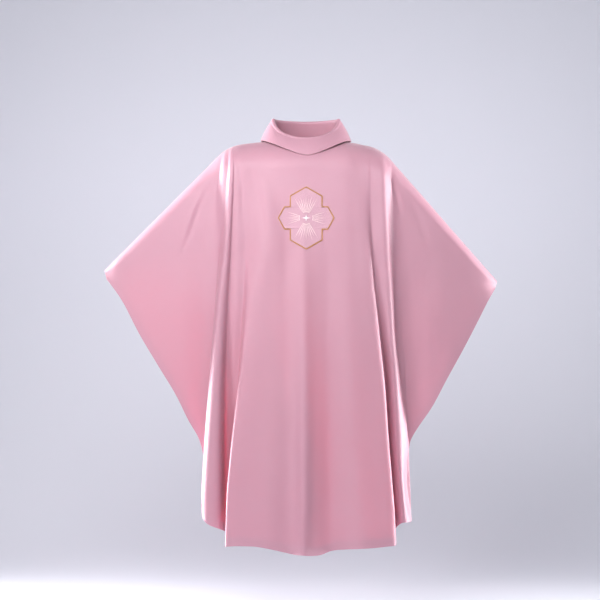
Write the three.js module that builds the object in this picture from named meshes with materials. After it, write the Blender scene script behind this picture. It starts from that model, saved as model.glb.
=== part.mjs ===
// A full, bell-shaped chasuble with a turned-down roll collar, draped as on a wearer who holds both arms
// out and down.
// Millimetres, +Z up. The front faces -Y and the wearer's left is +X.
// The origin is the middle of the neck at shoulder height, where the wearer carries the garment.
//
// A panel is measured by two shares. `across` runs from -1 at the right wrist through 0 at the middle to
// +1 at the left wrist. `down` runs from 0 at the neckline or shoulder seam, through ROLL_SHARE where the
// cloth has rolled over the shoulder or arm and hangs, to 1 at the hem.
import * as THREE from "three";
import { TessellateModifier } from "three/addons/modifiers/TessellateModifier.js";

const { lerp, smoothstep, degToRad } = THREE.MathUtils;

// ---------- cloth ----------
const CLOTH = 1.5; // shell cloth, as thick as its solid needs to be
const TRIM = 0.8; // hem bands, facings, bindings and tapes
const SEAM_GAP = 0.4; // between two edges that a seam joins
const LAYER_GAP = 0.9; // between a panel and a layer sewn under it

// ---------- drape ----------
const HEM_DROP = 1224; // middle of the hem below the origin
// Each arm from the point of the shoulder, where the cloth turns down, to the wrist.
const ARMS = {
  right: { crestOut: 236, crestDrop: 16, reach: 620, drop: 400 },
  left: { crestOut: 228, crestDrop: 24, reach: 586, drop: 432 },
};
const CREST_ROUND = 44; // length of the turn before and after the point of the shoulder
const WRIST_EDGE = 26; // height of the open corner at each wrist
const SIDE_CORNER = { out: 324, rise: 88 }; // where the hem turns up the open side
const SIDE_WAIST = { out: 314, rise: 284 }; // where the open side leaves the body for the wrist
const ROLL_SHARE = 0.25; // share of `down` that lies over the shoulder or arm
const FLARE = 1.25; // how late the panel swings out towards the hem

// Half depths from the shoulder line, and how far the cloth drops while it rolls over to reach them.
const BODY = { depth: 125, roll: 100, hemDepth: 205 };
const ARM = { depth: 52, roll: 55, hemDepth: 72 };
const WRIST = { depth: 30, hemDepth: 32 };
const WRIST_ROLL = 0.6; // the most of a short column's height that rolls over
const BODY_ENDS = 0.25; // `across` where the body's depths begin to change to the arm's
const ARM_STARTS = 0.6;
const WRIST_STARTS = 0.8;

// ---------- neck ----------
const NECK = { halfWidth: 118, halfDepth: 95, side: -2, backRise: 42 };
const NECK_SHARE = 0.15; // `across` of the neckline's side point
const COLLAR = {
  topInset: 14, // of the rolled top edge, from the neckline in
  sideHeight: 67,
  frontDip: 66,
  footOutset: 19, // of the fall's lower edge, from the neckline out
  fold: 5, // radius of the rolled edge
  bulge: 2.5, // how far the fall swells between its edges
};
const FOOT_LIFT = { side: 4, front: 15, back: 9 }; // the fall's lower edge above the shoulders
const COLLAR_LAYERS = { under: [-1.5, -0.6], interlining: [-0.3, 0.3], upper: [0.6, 1.5] };
const STAND_LIFT = 0.8; // the collar's seam edge above the neckline
const BINDING = { height: 9, below: 3, clear: 0.8 }; // `below` hangs below the seam, `clear` of the stand

// ---------- seams, hems and loop ----------
const HEM_WIDTH = 26;
const WIDEST_HEM = 0.4; // share of a short column that its hem may take
const HEM_JOINS = 0.55; // `across` where the wing hems meet the bottom hem, near enough to a column
const FACING_TO = 0.3; // `across` where the neck facings end
const JOIN_SHARE = 0.0006; // share of the edge left open between two bands that meet
const SEAM_ROLL = degToRad(15); // how far round the roll a shoulder binding reaches
const FACING_ROLL = degToRad(50);
const LOOP = { halfWidth: 25, tape: 8, straight: 14, thick: 1.2, clearance: 0.8 };

// ---------- emblem, a cross with pointed arms ----------
const EMBLEM = {
  drop: 242, // of its centre below the origin
  halfWidth: 80,
  halfHeight: 90,
  stem: 45, // half widths of the upright and of the crossbar
  arm: 31,
  sidePoint: 17, // how far the ends come to a point
  topPoint: 26,
};
const THREAD = 0.6; // height of embroidery
const EMBLEM_GAP = 0.5; // above the panel, and between one layer of thread and the next
const BORDER = { clear: 0.4, width: 3.4 }; // the cord around the ground
const RAYS = { count: 9, spread: degToRad(30), root: 20, tip: 71, band: 3, width: 2 };
const SIDE_RAYS = { count: 5, spread: degToRad(18), root: 22, tip: 60, band: 3, width: 2.2 };
const STAR = { halfWidth: 14, halfHeight: 10.5, waist: 3.2 };
const LONGEST_EDGE = 28; // embroidery is cut at least this small so that it follows the chest
const CUTS = 6;

// ---------- mesh ----------
const NECK_COLUMNS = 7; // in each quarter of the neckline, and of the collar
const SIDE_COLUMNS = 13;
const ROLL_ANGLES = [0, 15, 30, 50, 70, 90].map(degToRad);
const FALL_ROWS = 7;
const FRONT = -1;
const BACK = 1;

const MATERIALS = {
  shell: new THREE.MeshStandardMaterial({ color: 0xe0aebf, roughness: 0.62, metalness: 0 }),
  inside: new THREE.MeshStandardMaterial({ color: 0xd99fb3, roughness: 0.72, metalness: 0 }),
  interlining: new THREE.MeshStandardMaterial({ color: 0xefe9e4, roughness: 0.9, metalness: 0 }),
  ground: new THREE.MeshStandardMaterial({ color: 0xd9b4c1, roughness: 0.5, metalness: 0 }),
  gold: new THREE.MeshStandardMaterial({ color: 0xc9963f, roughness: 0.35, metalness: 0.6 }),
  white: new THREE.MeshStandardMaterial({ color: 0xf5eef0, roughness: 0.4, metalness: 0 }),
};

const garment = new THREE.Group();

function add(name, geometry, material) {
  const mesh = new THREE.Mesh(geometry, material);
  mesh.name = name;
  garment.add(mesh);
  return mesh;
}

// A closed sheet between two like grids of points, rim included. A ring joins its last column to its
// first.
function sheetGeometry(outer, inner, ring = false) {
  const columns = outer.length;
  const rows = outer[0].length;
  const at = (layer, i, j) => (layer * columns + (i % columns)) * rows + j;
  const faces = [];
  const quad = (a, b, c, d) => faces.push(a, b, c, a, c, d);
  for (let i = 0; i < (ring ? columns : columns - 1); i++) {
    for (let j = 0; j < rows - 1; j++) {
      quad(at(0, i, j), at(0, i, j + 1), at(0, i + 1, j + 1), at(0, i + 1, j));
      quad(at(1, i + 1, j + 1), at(1, i, j + 1), at(1, i, j), at(1, i + 1, j));
    }
    quad(at(0, i + 1, 0), at(1, i + 1, 0), at(1, i, 0), at(0, i, 0));
    quad(at(0, i, rows - 1), at(1, i, rows - 1), at(1, i + 1, rows - 1), at(0, i + 1, rows - 1));
  }
  const end = columns - 1;
  for (let j = 0; j < rows - 1 && !ring; j++) {
    quad(at(0, 0, j), at(1, 0, j), at(1, 0, j + 1), at(0, 0, j + 1));
    quad(at(0, end, j + 1), at(1, end, j + 1), at(1, end, j), at(0, end, j));
  }
  const points = [...outer.flat(), ...inner.flat()];
  return new THREE.BufferGeometry().setFromPoints(points).setIndex(faces);
}

// ---------- the outline of the drape, in X and Z ----------

// The shoulder seam of one side, from the neckline over the point of the shoulder to the wrist.
function shoulderLine(arm) {
  const neck = new THREE.Vector2(NECK.halfWidth, NECK.side);
  const crest = new THREE.Vector2(arm.crestOut, -arm.crestDrop);
  const wrist = new THREE.Vector2(arm.reach, -arm.drop);
  const before = crest.clone().add(neck.clone().sub(crest).setLength(CREST_ROUND));
  const after = crest.clone().add(wrist.clone().sub(crest).setLength(CREST_ROUND));
  const line = new THREE.CurvePath();
  line.add(new THREE.LineCurve(neck, before));
  line.add(new THREE.QuadraticBezierCurve(before, crest, after));
  line.add(new THREE.LineCurve(after, wrist));
  return line;
}

// The free edge of one side, from the middle of the hem round the corner and up to the wrist.
function freeEdge(arm) {
  const corner = new THREE.Vector2(SIDE_CORNER.out, SIDE_CORNER.rise - HEM_DROP);
  return new THREE.SplineCurve([
    new THREE.Vector2(0, -HEM_DROP),
    new THREE.Vector2(corner.x * 0.5, lerp(-HEM_DROP, corner.y, 0.05)),
    new THREE.Vector2(corner.x * 0.86, lerp(-HEM_DROP, corner.y, 0.32)),
    corner,
    new THREE.Vector2(SIDE_WAIST.out, SIDE_WAIST.rise - HEM_DROP),
    new THREE.Vector2(arm.reach, -arm.drop - WRIST_EDGE),
  ]);
}

const sideName = (across) => (across < 0 ? "right" : "left");
const SHOULDER_LINES = { right: shoulderLine(ARMS.right), left: shoulderLine(ARMS.left) };
const FREE_EDGES = { right: freeEdge(ARMS.right), left: freeEdge(ARMS.left) };

// A point on the oval of half width `radius` around the neck. Turn 0 is the front, a quarter turn the
// wearer's left.
function onOval(turn, radius, z) {
  const flattening = NECK.halfWidth - NECK.halfDepth;
  return new THREE.Vector3(radius * Math.sin(turn), -(radius - flattening) * Math.cos(turn), z);
}

// The neckline is cut out of the cloth where it rolls over the shoulders.
function necklineHeight(turn) {
  const forward = Math.cos(turn);
  const ridge = NECK.side + (forward < 0 ? NECK.backRise * forward ** 4 : 0);
  const out = Math.abs(onOval(turn, NECK.halfWidth, 0).y) / BODY.depth;
  return ridge - BODY.roll * (1 - Math.sqrt(1 - out * out));
}

// The upper edge of a panel: the neckline in the middle and the shoulder seam on each side.
function topEdge(side, across) {
  const share = Math.abs(across);
  if (share < NECK_SHARE) {
    const quarter = ((Math.PI / 2) * across) / NECK_SHARE;
    const turn = side === FRONT ? quarter : Math.PI - quarter;
    return onOval(turn, NECK.halfWidth, necklineHeight(turn));
  }
  const place = SHOULDER_LINES[sideName(across)].getPointAt((share - NECK_SHARE) / (1 - NECK_SHARE));
  return new THREE.Vector3(Math.sign(across) * place.x, 0, place.y);
}

function bottomEdge(across) {
  const place = FREE_EDGES[sideName(across)].getPointAt(Math.abs(across));
  return new THREE.Vector3(Math.sign(across) * place.x, 0, place.y);
}

// ---------- the draped surface ----------

// A size that goes from the body's to the arm's and, where the wrist has one, on to the wrist's.
function alongArm(across, name) {
  const share = Math.abs(across);
  const onArm = lerp(BODY[name], ARM[name], smoothstep(share, BODY_ENDS, ARM_STARTS));
  return name in WRIST ? lerp(onArm, WRIST[name], smoothstep(share, WRIST_STARTS, 1)) : onArm;
}

// One column of a panel, from the neckline or shoulder seam to the hem. The cloth rolls over with the
// given depth and drop, but a column that starts at the neckline joins the roll part of the way round, at
// the angle `start`.
function columnOf(side, across) {
  const top = topEdge(side, across);
  const foot = bottomEdge(across);
  const height = Math.hypot(foot.x - top.x, foot.z - top.z);
  const depth = alongArm(across, "depth");
  const roll = Math.min(alongArm(across, "roll"), height * WRIST_ROLL);
  const start = Math.asin(Math.abs(top.y) / depth);
  const hanging = height - roll * Math.cos(start);
  return { top, foot, height, depth, roll, start, hanging };
}

// A point of a panel's outer face.
function onPanel(side, across, down) {
  const { top, foot, height, depth, roll, start, hanging } = columnOf(side, across);
  const angle = lerp(start, Math.PI / 2, Math.min(down / ROLL_SHARE, 1));
  const hung = Math.max(down - ROLL_SHARE, 0) / (1 - ROLL_SHARE);
  const dropped = roll * (Math.cos(start) - Math.cos(angle)) + hanging * hung;
  const swing = (alongArm(across, "hemDepth") - depth) * hung ** FLARE;
  return new THREE.Vector3(
    lerp(top.x, foot.x, dropped / height),
    side * (SEAM_GAP / 2 + depth * Math.sin(angle) + swing),
    lerp(top.z, foot.z, dropped / height),
  );
}

// The way out of the garment at a point of a panel.
function outward(side, across, down) {
  const step = 1e-3;
  const sample = (a, d) => onPanel(side, THREE.MathUtils.clamp(a, -1, 1), THREE.MathUtils.clamp(d, 0, 1));
  const right = sample(across + step, down).sub(sample(across - step, down));
  const below = sample(across, down + step).sub(sample(across, down - step));
  return below.cross(right).multiplyScalar(-side).normalize();
}

// A point that lies `lift` above the outer face of a panel, or below it where lift is negative.
const above = (side, across, down, lift) =>
  onPanel(side, across, down).addScaledVector(outward(side, across, down), lift);

// ---------- columns and rows of the mesh ----------

const HALF_COLUMNS = [
  ...Array.from({ length: NECK_COLUMNS + 1 }, (_, i) => (NECK_SHARE * i) / NECK_COLUMNS),
  ...Array.from({ length: SIDE_COLUMNS }, (_, i) => lerp(NECK_SHARE, 1, (i + 1) / SIDE_COLUMNS)),
];
const COLUMNS = [...HALF_COLUMNS.slice(1).reverse().map((share) => -share), ...HALF_COLUMNS];

// The column nearest to a share, so that bands start and end on a column of the panel that carries them.
const columnNear = (share) =>
  COLUMNS.reduce((best, column) => (Math.abs(column - share) < Math.abs(best - share) ? column : best));

const rollRow = (angle) => (ROLL_SHARE * angle) / (Math.PI / 2);

// `down` where the hem band starts on a column.
function hemRow(across) {
  const share = Math.min(HEM_WIDTH / columnOf(FRONT, across).hanging, WIDEST_HEM);
  return 1 - (1 - ROLL_SHARE) * share;
}

function panelRows(across) {
  const last = hemRow(across);
  const fall = Array.from({ length: FALL_ROWS }, (_, i) => lerp(ROLL_SHARE, last, (i + 1) / FALL_ROWS));
  return [...ROLL_ANGLES.map(rollRow), ...fall, 1];
}

// A closed solid that follows a panel from lift `high` down to lift `low`, over some columns and rows.
function bandGeometry(side, from, to, rowsOf, high, low) {
  const inside = COLUMNS.filter((column) => column > from && column < to);
  const columns = [from, ...inside, to];
  if (side === BACK) columns.reverse();
  const column = (across, lift) => rowsOf(across).map((down) => above(side, across, down, lift));
  const grid = (lift) => columns.map((across) => column(across, lift));
  return sheetGeometry(grid(high), grid(low));
}

const UNDER = [-CLOTH - LAYER_GAP, -CLOTH - LAYER_GAP - TRIM]; // a layer sewn to the inside of a panel

// ---------- panels, hems, facings and shoulder bindings ----------

function makePanel(name, side) {
  return add(name, bandGeometry(side, -1, 1, panelRows, 0, -CLOTH), MATERIALS.shell);
}

function makeHems(name, side) {
  const rows = (across) => [hemRow(across), 1];
  const join = columnNear(HEM_JOINS);
  const inner = join - JOIN_SHARE;
  const bands = { right_wing: [-1, -join], bottom: [-inner, inner], left_wing: [join, 1] };
  for (const [place, [from, to]] of Object.entries(bands)) {
    add(`${name}_${place}_hem`, bandGeometry(side, from, to, rows, ...UNDER), MATERIALS.inside);
  }
}

function makeNeckFacing(name, side) {
  const end = columnNear(FACING_TO);
  const rows = () => ROLL_ANGLES.filter((angle) => angle <= FACING_ROLL).map(rollRow);
  add(name, bandGeometry(side, -end, end, rows, ...UNDER), MATERIALS.inside);
}

// The bound allowances under one shoulder seam, from the neck facings to the wrist.
function makeShoulderBinding(name, sign) {
  const start = columnNear(FACING_TO) + JOIN_SHARE;
  const beyond = HALF_COLUMNS.filter((column) => column > start);
  const columns = [start, ...beyond].map((share) => sign * share);
  if (sign < 0) columns.reverse();
  const rim = rollRow(SEAM_ROLL);
  const rows = [[BACK, rim], [BACK, 0], [FRONT, 0], [FRONT, rim]];
  const run = (across, lift) => rows.map(([side, down]) => above(side, across, down, lift));
  const grid = (lift) => columns.map((across) => run(across, lift));
  add(name, sheetGeometry(grid(UNDER[0]), grid(UNDER[1])), MATERIALS.inside);
}

// ---------- collar ----------

const COLLAR_COLUMNS = 4 * NECK_COLUMNS;
const COLLAR_TURNS = Array.from(
  { length: COLLAR_COLUMNS },
  (_, i) => (i / COLLAR_COLUMNS) * 2 * Math.PI,
);
const STAND_RADIUS = NECK.halfWidth - COLLAR_LAYERS.upper[1] - SEAM_GAP;

function collarTopHeight(turn) {
  return COLLAR.sideHeight - COLLAR.frontDip * Math.max(Math.cos(turn), 0);
}

// The height of a panel's outer face below a point. A point over the shoulder seam is looked up just
// beside it.
function heightBelow(point, panels) {
  const beside = Math.abs(point.y) < SEAM_GAP ? -SEAM_GAP : point.y;
  const start = new THREE.Vector3(point.x, beside, COLLAR.sideHeight);
  const ray = new THREE.Raycaster(start, new THREE.Vector3(0, 0, -1));
  return ray.intersectObjects(panels)[0].point.z;
}

function collarFoot(turn, panels) {
  const forward = Math.cos(turn);
  const radius = NECK.halfWidth + COLLAR.footOutset;
  const lift = lerp(FOOT_LIFT.side, forward > 0 ? FOOT_LIFT.front : FOOT_LIFT.back, forward * forward);
  return new THREE.Vector2(radius, heightBelow(onOval(turn, radius, 0), panels) + lift);
}

// The middle of the folded collar, up the stand, over the roll and down the fall, as radius and height.
function collarPath(turn, foot) {
  const topRadius = NECK.halfWidth - COLLAR.topInset;
  const roll = new THREE.Vector2(topRadius - COLLAR.fold, collarTopHeight(turn) - COLLAR.fold);
  const seam = new THREE.Vector2(STAND_RADIUS, necklineHeight(turn) + STAND_LIFT);
  const arc = [180, 130, 90, 50, 0].map(degToRad).map(
    (angle) => new THREE.Vector2(Math.cos(angle), Math.sin(angle)).multiplyScalar(COLLAR.fold).add(roll),
  );
  const fallStart = arc[arc.length - 1];
  const away = foot.clone().sub(fallStart).normalize();
  const swell = new THREE.Vector2(-away.y, away.x);
  const fall = [1 / 3, 2 / 3].map((share) =>
    fallStart.clone().lerp(foot, share).addScaledVector(swell, COLLAR.bulge),
  );
  const bindingTop = seam.clone().add(arc[0].clone().sub(seam).setLength(BINDING.height - BINDING.below));
  return [seam, bindingTop, ...arc, ...fall, foot];
}

// The path moved sideways, to the outside of the fold where `offset` is positive.
function besidePath(path, offset) {
  return path.map((point, i) => {
    const ahead = path[Math.min(i + 1, path.length - 1)];
    const behind = path[Math.max(i - 1, 0)];
    const along = ahead.clone().sub(behind).normalize();
    return new THREE.Vector2(point.x - along.y * offset, point.y + along.x * offset);
  });
}

function makeCollar(panels) {
  const paths = COLLAR_TURNS.map((turn) => collarPath(turn, collarFoot(turn, panels)));
  const grid = (offset) => ringGrid(paths.map((path) => besidePath(path, offset)));
  const looks = { under: MATERIALS.inside, interlining: MATERIALS.interlining, upper: MATERIALS.shell };
  for (const [layer, [low, high]] of Object.entries(COLLAR_LAYERS)) {
    const name = layer === "interlining" ? "collar_interlining" : `${layer}_collar`;
    add(name, sheetGeometry(grid(high), grid(low), true), looks[layer]);
  }
  return paths;
}

// Points around the neck from one run of radius and height for every turn of the collar.
function ringGrid(runs) {
  return runs.map((run, i) => run.map((place) => onOval(COLLAR_TURNS[i], place.x, place.y)));
}

// The narrow tape that covers the collar seam on the inside of the neck, as a run of radius and height.
function bindingRun([seam, up], offset) {
  const along = up.clone().sub(seam).normalize();
  const ends = [BINDING.height - BINDING.below, -BINDING.below];
  const run = ends.map((distance) => seam.clone().addScaledVector(along, distance));
  const away = new THREE.Vector2(-along.y, along.x).multiplyScalar(offset);
  return run.map((place) => place.add(away));
}

function makeNecklineBinding(collarPaths) {
  const offset = COLLAR_LAYERS.upper[1] + BINDING.clear;
  const grid = (lift) => ringGrid(collarPaths.map((path) => bindingRun(path, lift)));
  add("neckline_binding", sheetGeometry(grid(offset), grid(offset + TRIM), true), MATERIALS.inside);
}

// The tape loop at the back of the neck. Its two ends are sewn to the lower edge of the neckline binding.
function makeHangingLoop(collarPaths) {
  const inner = LOOP.halfWidth - LOOP.tape;
  const outline = new THREE.Shape();
  outline.moveTo(-LOOP.halfWidth, 0);
  outline.absarc(0, -LOOP.straight, LOOP.halfWidth, Math.PI, 2 * Math.PI, false);
  outline.lineTo(LOOP.halfWidth, 0);
  outline.lineTo(inner, 0);
  outline.absarc(0, -LOOP.straight, inner, 0, -Math.PI, true);
  outline.lineTo(-inner, 0);
  const extrusion = { depth: LOOP.thick, bevelEnabled: false, curveSegments: 12 };
  const tape = new THREE.ExtrudeGeometry(outline, extrusion);
  tape.translate(0, 0, -LOOP.thick / 2).rotateX(Math.PI / 2);
  const loop = add("hanging_loop", tape, MATERIALS.inside);
  const offset = COLLAR_LAYERS.upper[1] + BINDING.clear + TRIM / 2;
  const edges = ringGrid(collarPaths.map((path) => bindingRun(path, offset))).map((run) => run[1]);
  const [middle, beside] = [edges[2 * NECK_COLUMNS], edges[2 * NECK_COLUMNS - 1]];
  const seat = middle.clone().lerp(beside, (LOOP.halfWidth - LOOP.tape / 2) / beside.x);
  loop.position.set(0, seat.y, beside.z - LOOP.clearance);
}

// ---------- emblem ----------

// The outer face of the front panel, straight behind a point before it.
function chestBehind(chest, x, z) {
  const before = new THREE.Vector3(x, -2 * BODY.hemDepth, z);
  const ray = new THREE.Raycaster(before, new THREE.Vector3(0, 1, 0));
  return ray.intersectObject(chest)[0].point.y;
}

// Embroidery: a flat shape about the emblem's centre, laid on the chest from lift `low` up by `height`.
function embroider(chest, name, shape, low, height, material) {
  const flat = new THREE.ExtrudeGeometry(shape, { depth: height, bevelEnabled: false, curveSegments: 6 });
  const cut = new TessellateModifier(LONGEST_EDGE, CUTS).modify(flat);
  const points = cut.getAttribute("position");
  for (let i = 0; i < points.count; i++) {
    const x = points.getX(i);
    const z = points.getY(i) - EMBLEM.drop;
    points.setXYZ(i, x, chestBehind(chest, x, z) - low - points.getZ(i), z);
  }
  add(name, cut, material);
}

// The pointed cross, its outline moved out by `grow`.
function crossOutline(grow) {
  const { halfWidth, halfHeight, stem, arm, sidePoint, topPoint } = EMBLEM;
  // A sloped edge moved out by 1 moves this far along the stem or the arm.
  const topLean = Math.hypot(stem, topPoint) / stem;
  const sideLean = Math.hypot(arm, sidePoint) / arm;
  const peak = halfHeight + grow * topLean;
  const shoulder = peak - ((stem + grow) * topPoint) / stem;
  const tip = halfWidth + grow * sideLean;
  const cuff = tip - ((arm + grow) * sidePoint) / arm;
  const quarter = [[0, peak], [stem + grow, shoulder], [stem + grow, arm + grow], [cuff, arm + grow]];
  const turned = [
    ...quarter,
    [tip, 0],
    ...quarter.map(([x, z]) => [x, -z]).reverse(),
    ...quarter.slice(1).map(([x, z]) => [-x, -z]),
    [-tip, 0],
    ...quarter.slice(1).map(([x, z]) => [-x, z]).reverse(),
  ];
  return turned.map(([x, z]) => new THREE.Vector2(x, z)).reverse();
}

// A fan of pointed rays on a narrow curved band, pointing along `heading`.
function fanShape(rays, heading) {
  const at = (angle, radius) => new THREE.Vector2(radius * Math.cos(angle), radius * Math.sin(angle));
  const step = (2 * rays.spread) / (rays.count - 1);
  const halfWidth = rays.width / 2 / rays.root;
  const first = heading - rays.spread;
  const rim = [at(first - halfWidth, rays.root - rays.band)];
  for (let i = 0; i < rays.count; i++) {
    const angle = first + i * step;
    const reach = i % 2 ? 0.86 * rays.tip : rays.tip;
    rim.push(at(angle - halfWidth, rays.root), at(angle, reach), at(angle + halfWidth, rays.root));
  }
  const last = heading + rays.spread;
  rim.push(at(last + halfWidth, rays.root - rays.band), at(heading, rays.root - rays.band));
  return new THREE.Shape(rim);
}

function makeEmblem(chest) {
  const sew = (...piece) => embroider(chest, ...piece);
  const threadLow = EMBLEM_GAP + THREAD + EMBLEM_GAP;
  const backing = new THREE.Shape(crossOutline(BORDER.width));
  sew("emblem_backing", backing, -CLOTH - LAYER_GAP - TRIM, TRIM, MATERIALS.interlining);
  sew("emblem_ground", new THREE.Shape(crossOutline(0)), EMBLEM_GAP, THREAD, MATERIALS.ground);
  const border = new THREE.Shape(crossOutline(BORDER.clear + BORDER.width));
  border.holes.push(new THREE.Path(crossOutline(BORDER.clear)));
  sew("emblem_border", border, EMBLEM_GAP, 2 * THREAD, MATERIALS.gold);
  const fans = { upper: [RAYS, 90], lower: [RAYS, -90], left: [SIDE_RAYS, 0], right: [SIDE_RAYS, 180] };
  for (const [place, [rays, heading]] of Object.entries(fans)) {
    sew(`emblem_${place}_rays`, fanShape(rays, degToRad(heading)), threadLow, THREAD, MATERIALS.white);
  }
  const star = [0, 1, 2, 3].flatMap((quarter) => {
    const point = (quarter * Math.PI) / 2;
    const waist = point + Math.PI / 4;
    return [
      new THREE.Vector2(STAR.halfWidth * Math.cos(point), STAR.halfHeight * Math.sin(point)),
      new THREE.Vector2(STAR.waist * Math.cos(waist), STAR.waist * Math.sin(waist)),
    ];
  });
  sew("emblem_star", new THREE.Shape(star), threadLow, THREAD, MATERIALS.white);
}

const panels = [makePanel("front_panel", FRONT), makePanel("back_panel", BACK)];
makeHems("front", FRONT);
makeHems("back", BACK);
makeNeckFacing("front_neck_facing", FRONT);
makeNeckFacing("back_neck_facing", BACK);
makeShoulderBinding("right_shoulder_binding", -1);
makeShoulderBinding("left_shoulder_binding", 1);
const collarPaths = makeCollar(panels);
makeNecklineBinding(collarPaths);
makeHangingLoop(collarPaths);
makeEmblem(panels[0]);

export default garment;
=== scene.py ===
"""A full, bell-shaped chasuble with a turned-down roll collar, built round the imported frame.

Sizes are in millimetres, +Z up. The front faces -Y and the wearer's left is +X.
"""

import logging
import math
from dataclasses import dataclass, field
from enum import Enum
from typing import Iterable, Optional, Sequence, Union

import bpy
import numpy as np
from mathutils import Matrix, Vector
from mathutils.bvhtree import BVHTree


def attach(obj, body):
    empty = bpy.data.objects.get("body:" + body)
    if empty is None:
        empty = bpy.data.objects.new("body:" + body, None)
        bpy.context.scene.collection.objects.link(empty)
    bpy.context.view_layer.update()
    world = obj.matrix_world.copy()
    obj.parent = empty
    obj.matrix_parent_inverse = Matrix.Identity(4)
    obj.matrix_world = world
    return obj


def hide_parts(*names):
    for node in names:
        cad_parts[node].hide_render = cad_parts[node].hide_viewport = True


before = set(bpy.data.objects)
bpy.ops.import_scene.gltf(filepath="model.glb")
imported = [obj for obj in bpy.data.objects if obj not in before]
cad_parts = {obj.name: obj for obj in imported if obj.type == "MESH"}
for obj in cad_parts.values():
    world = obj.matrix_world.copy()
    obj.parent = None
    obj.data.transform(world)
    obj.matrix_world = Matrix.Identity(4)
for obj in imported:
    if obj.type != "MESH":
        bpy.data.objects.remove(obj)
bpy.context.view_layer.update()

LOG = logging.getLogger("chasuble")
MM = 0.001
SEED = 41

Grid = np.ndarray  # columns x rows x 3, in millimetres


class Side(Enum):
    """The two panels, by the way they face along Y."""

    FRONT = -1
    BACK = 1


class Slot(Enum):
    """The record's material slots."""

    SHELL = "shell"
    TRIM = "trim"
    INTERLINING = "interlining"
    GROUND = "emblem_ground"
    GOLD = "gold_thread"
    WHITE = "white_thread"


# ---------------------------------------------------------------- folds of the cloth


@dataclass(frozen=True)
class Fold:
    """One line down a panel that a crest, a valley or a flat of the drape follows.

    Args:
        name: Where it runs.
        top: Its start on the shoulder line as (x, z), or a turn round the neckline in degrees.
        roll: How far the cloth drops while it rolls over the shoulder or arm.
        points: Places (x, y, z) down to the hem, with the depths it has once it hangs.
    """

    name: str
    top: Union[tuple, float]
    roll: float
    points: tuple

    def behind(self, lift: float) -> "Fold":
        """The same line on the back panel, a little higher so that the front hides it."""
        moved = tuple((x, -y, z + lift) for x, y, z in self.points)
        return Fold(self.name.replace(" ", " back ", 1), self.top, self.roll, moved)


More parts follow.
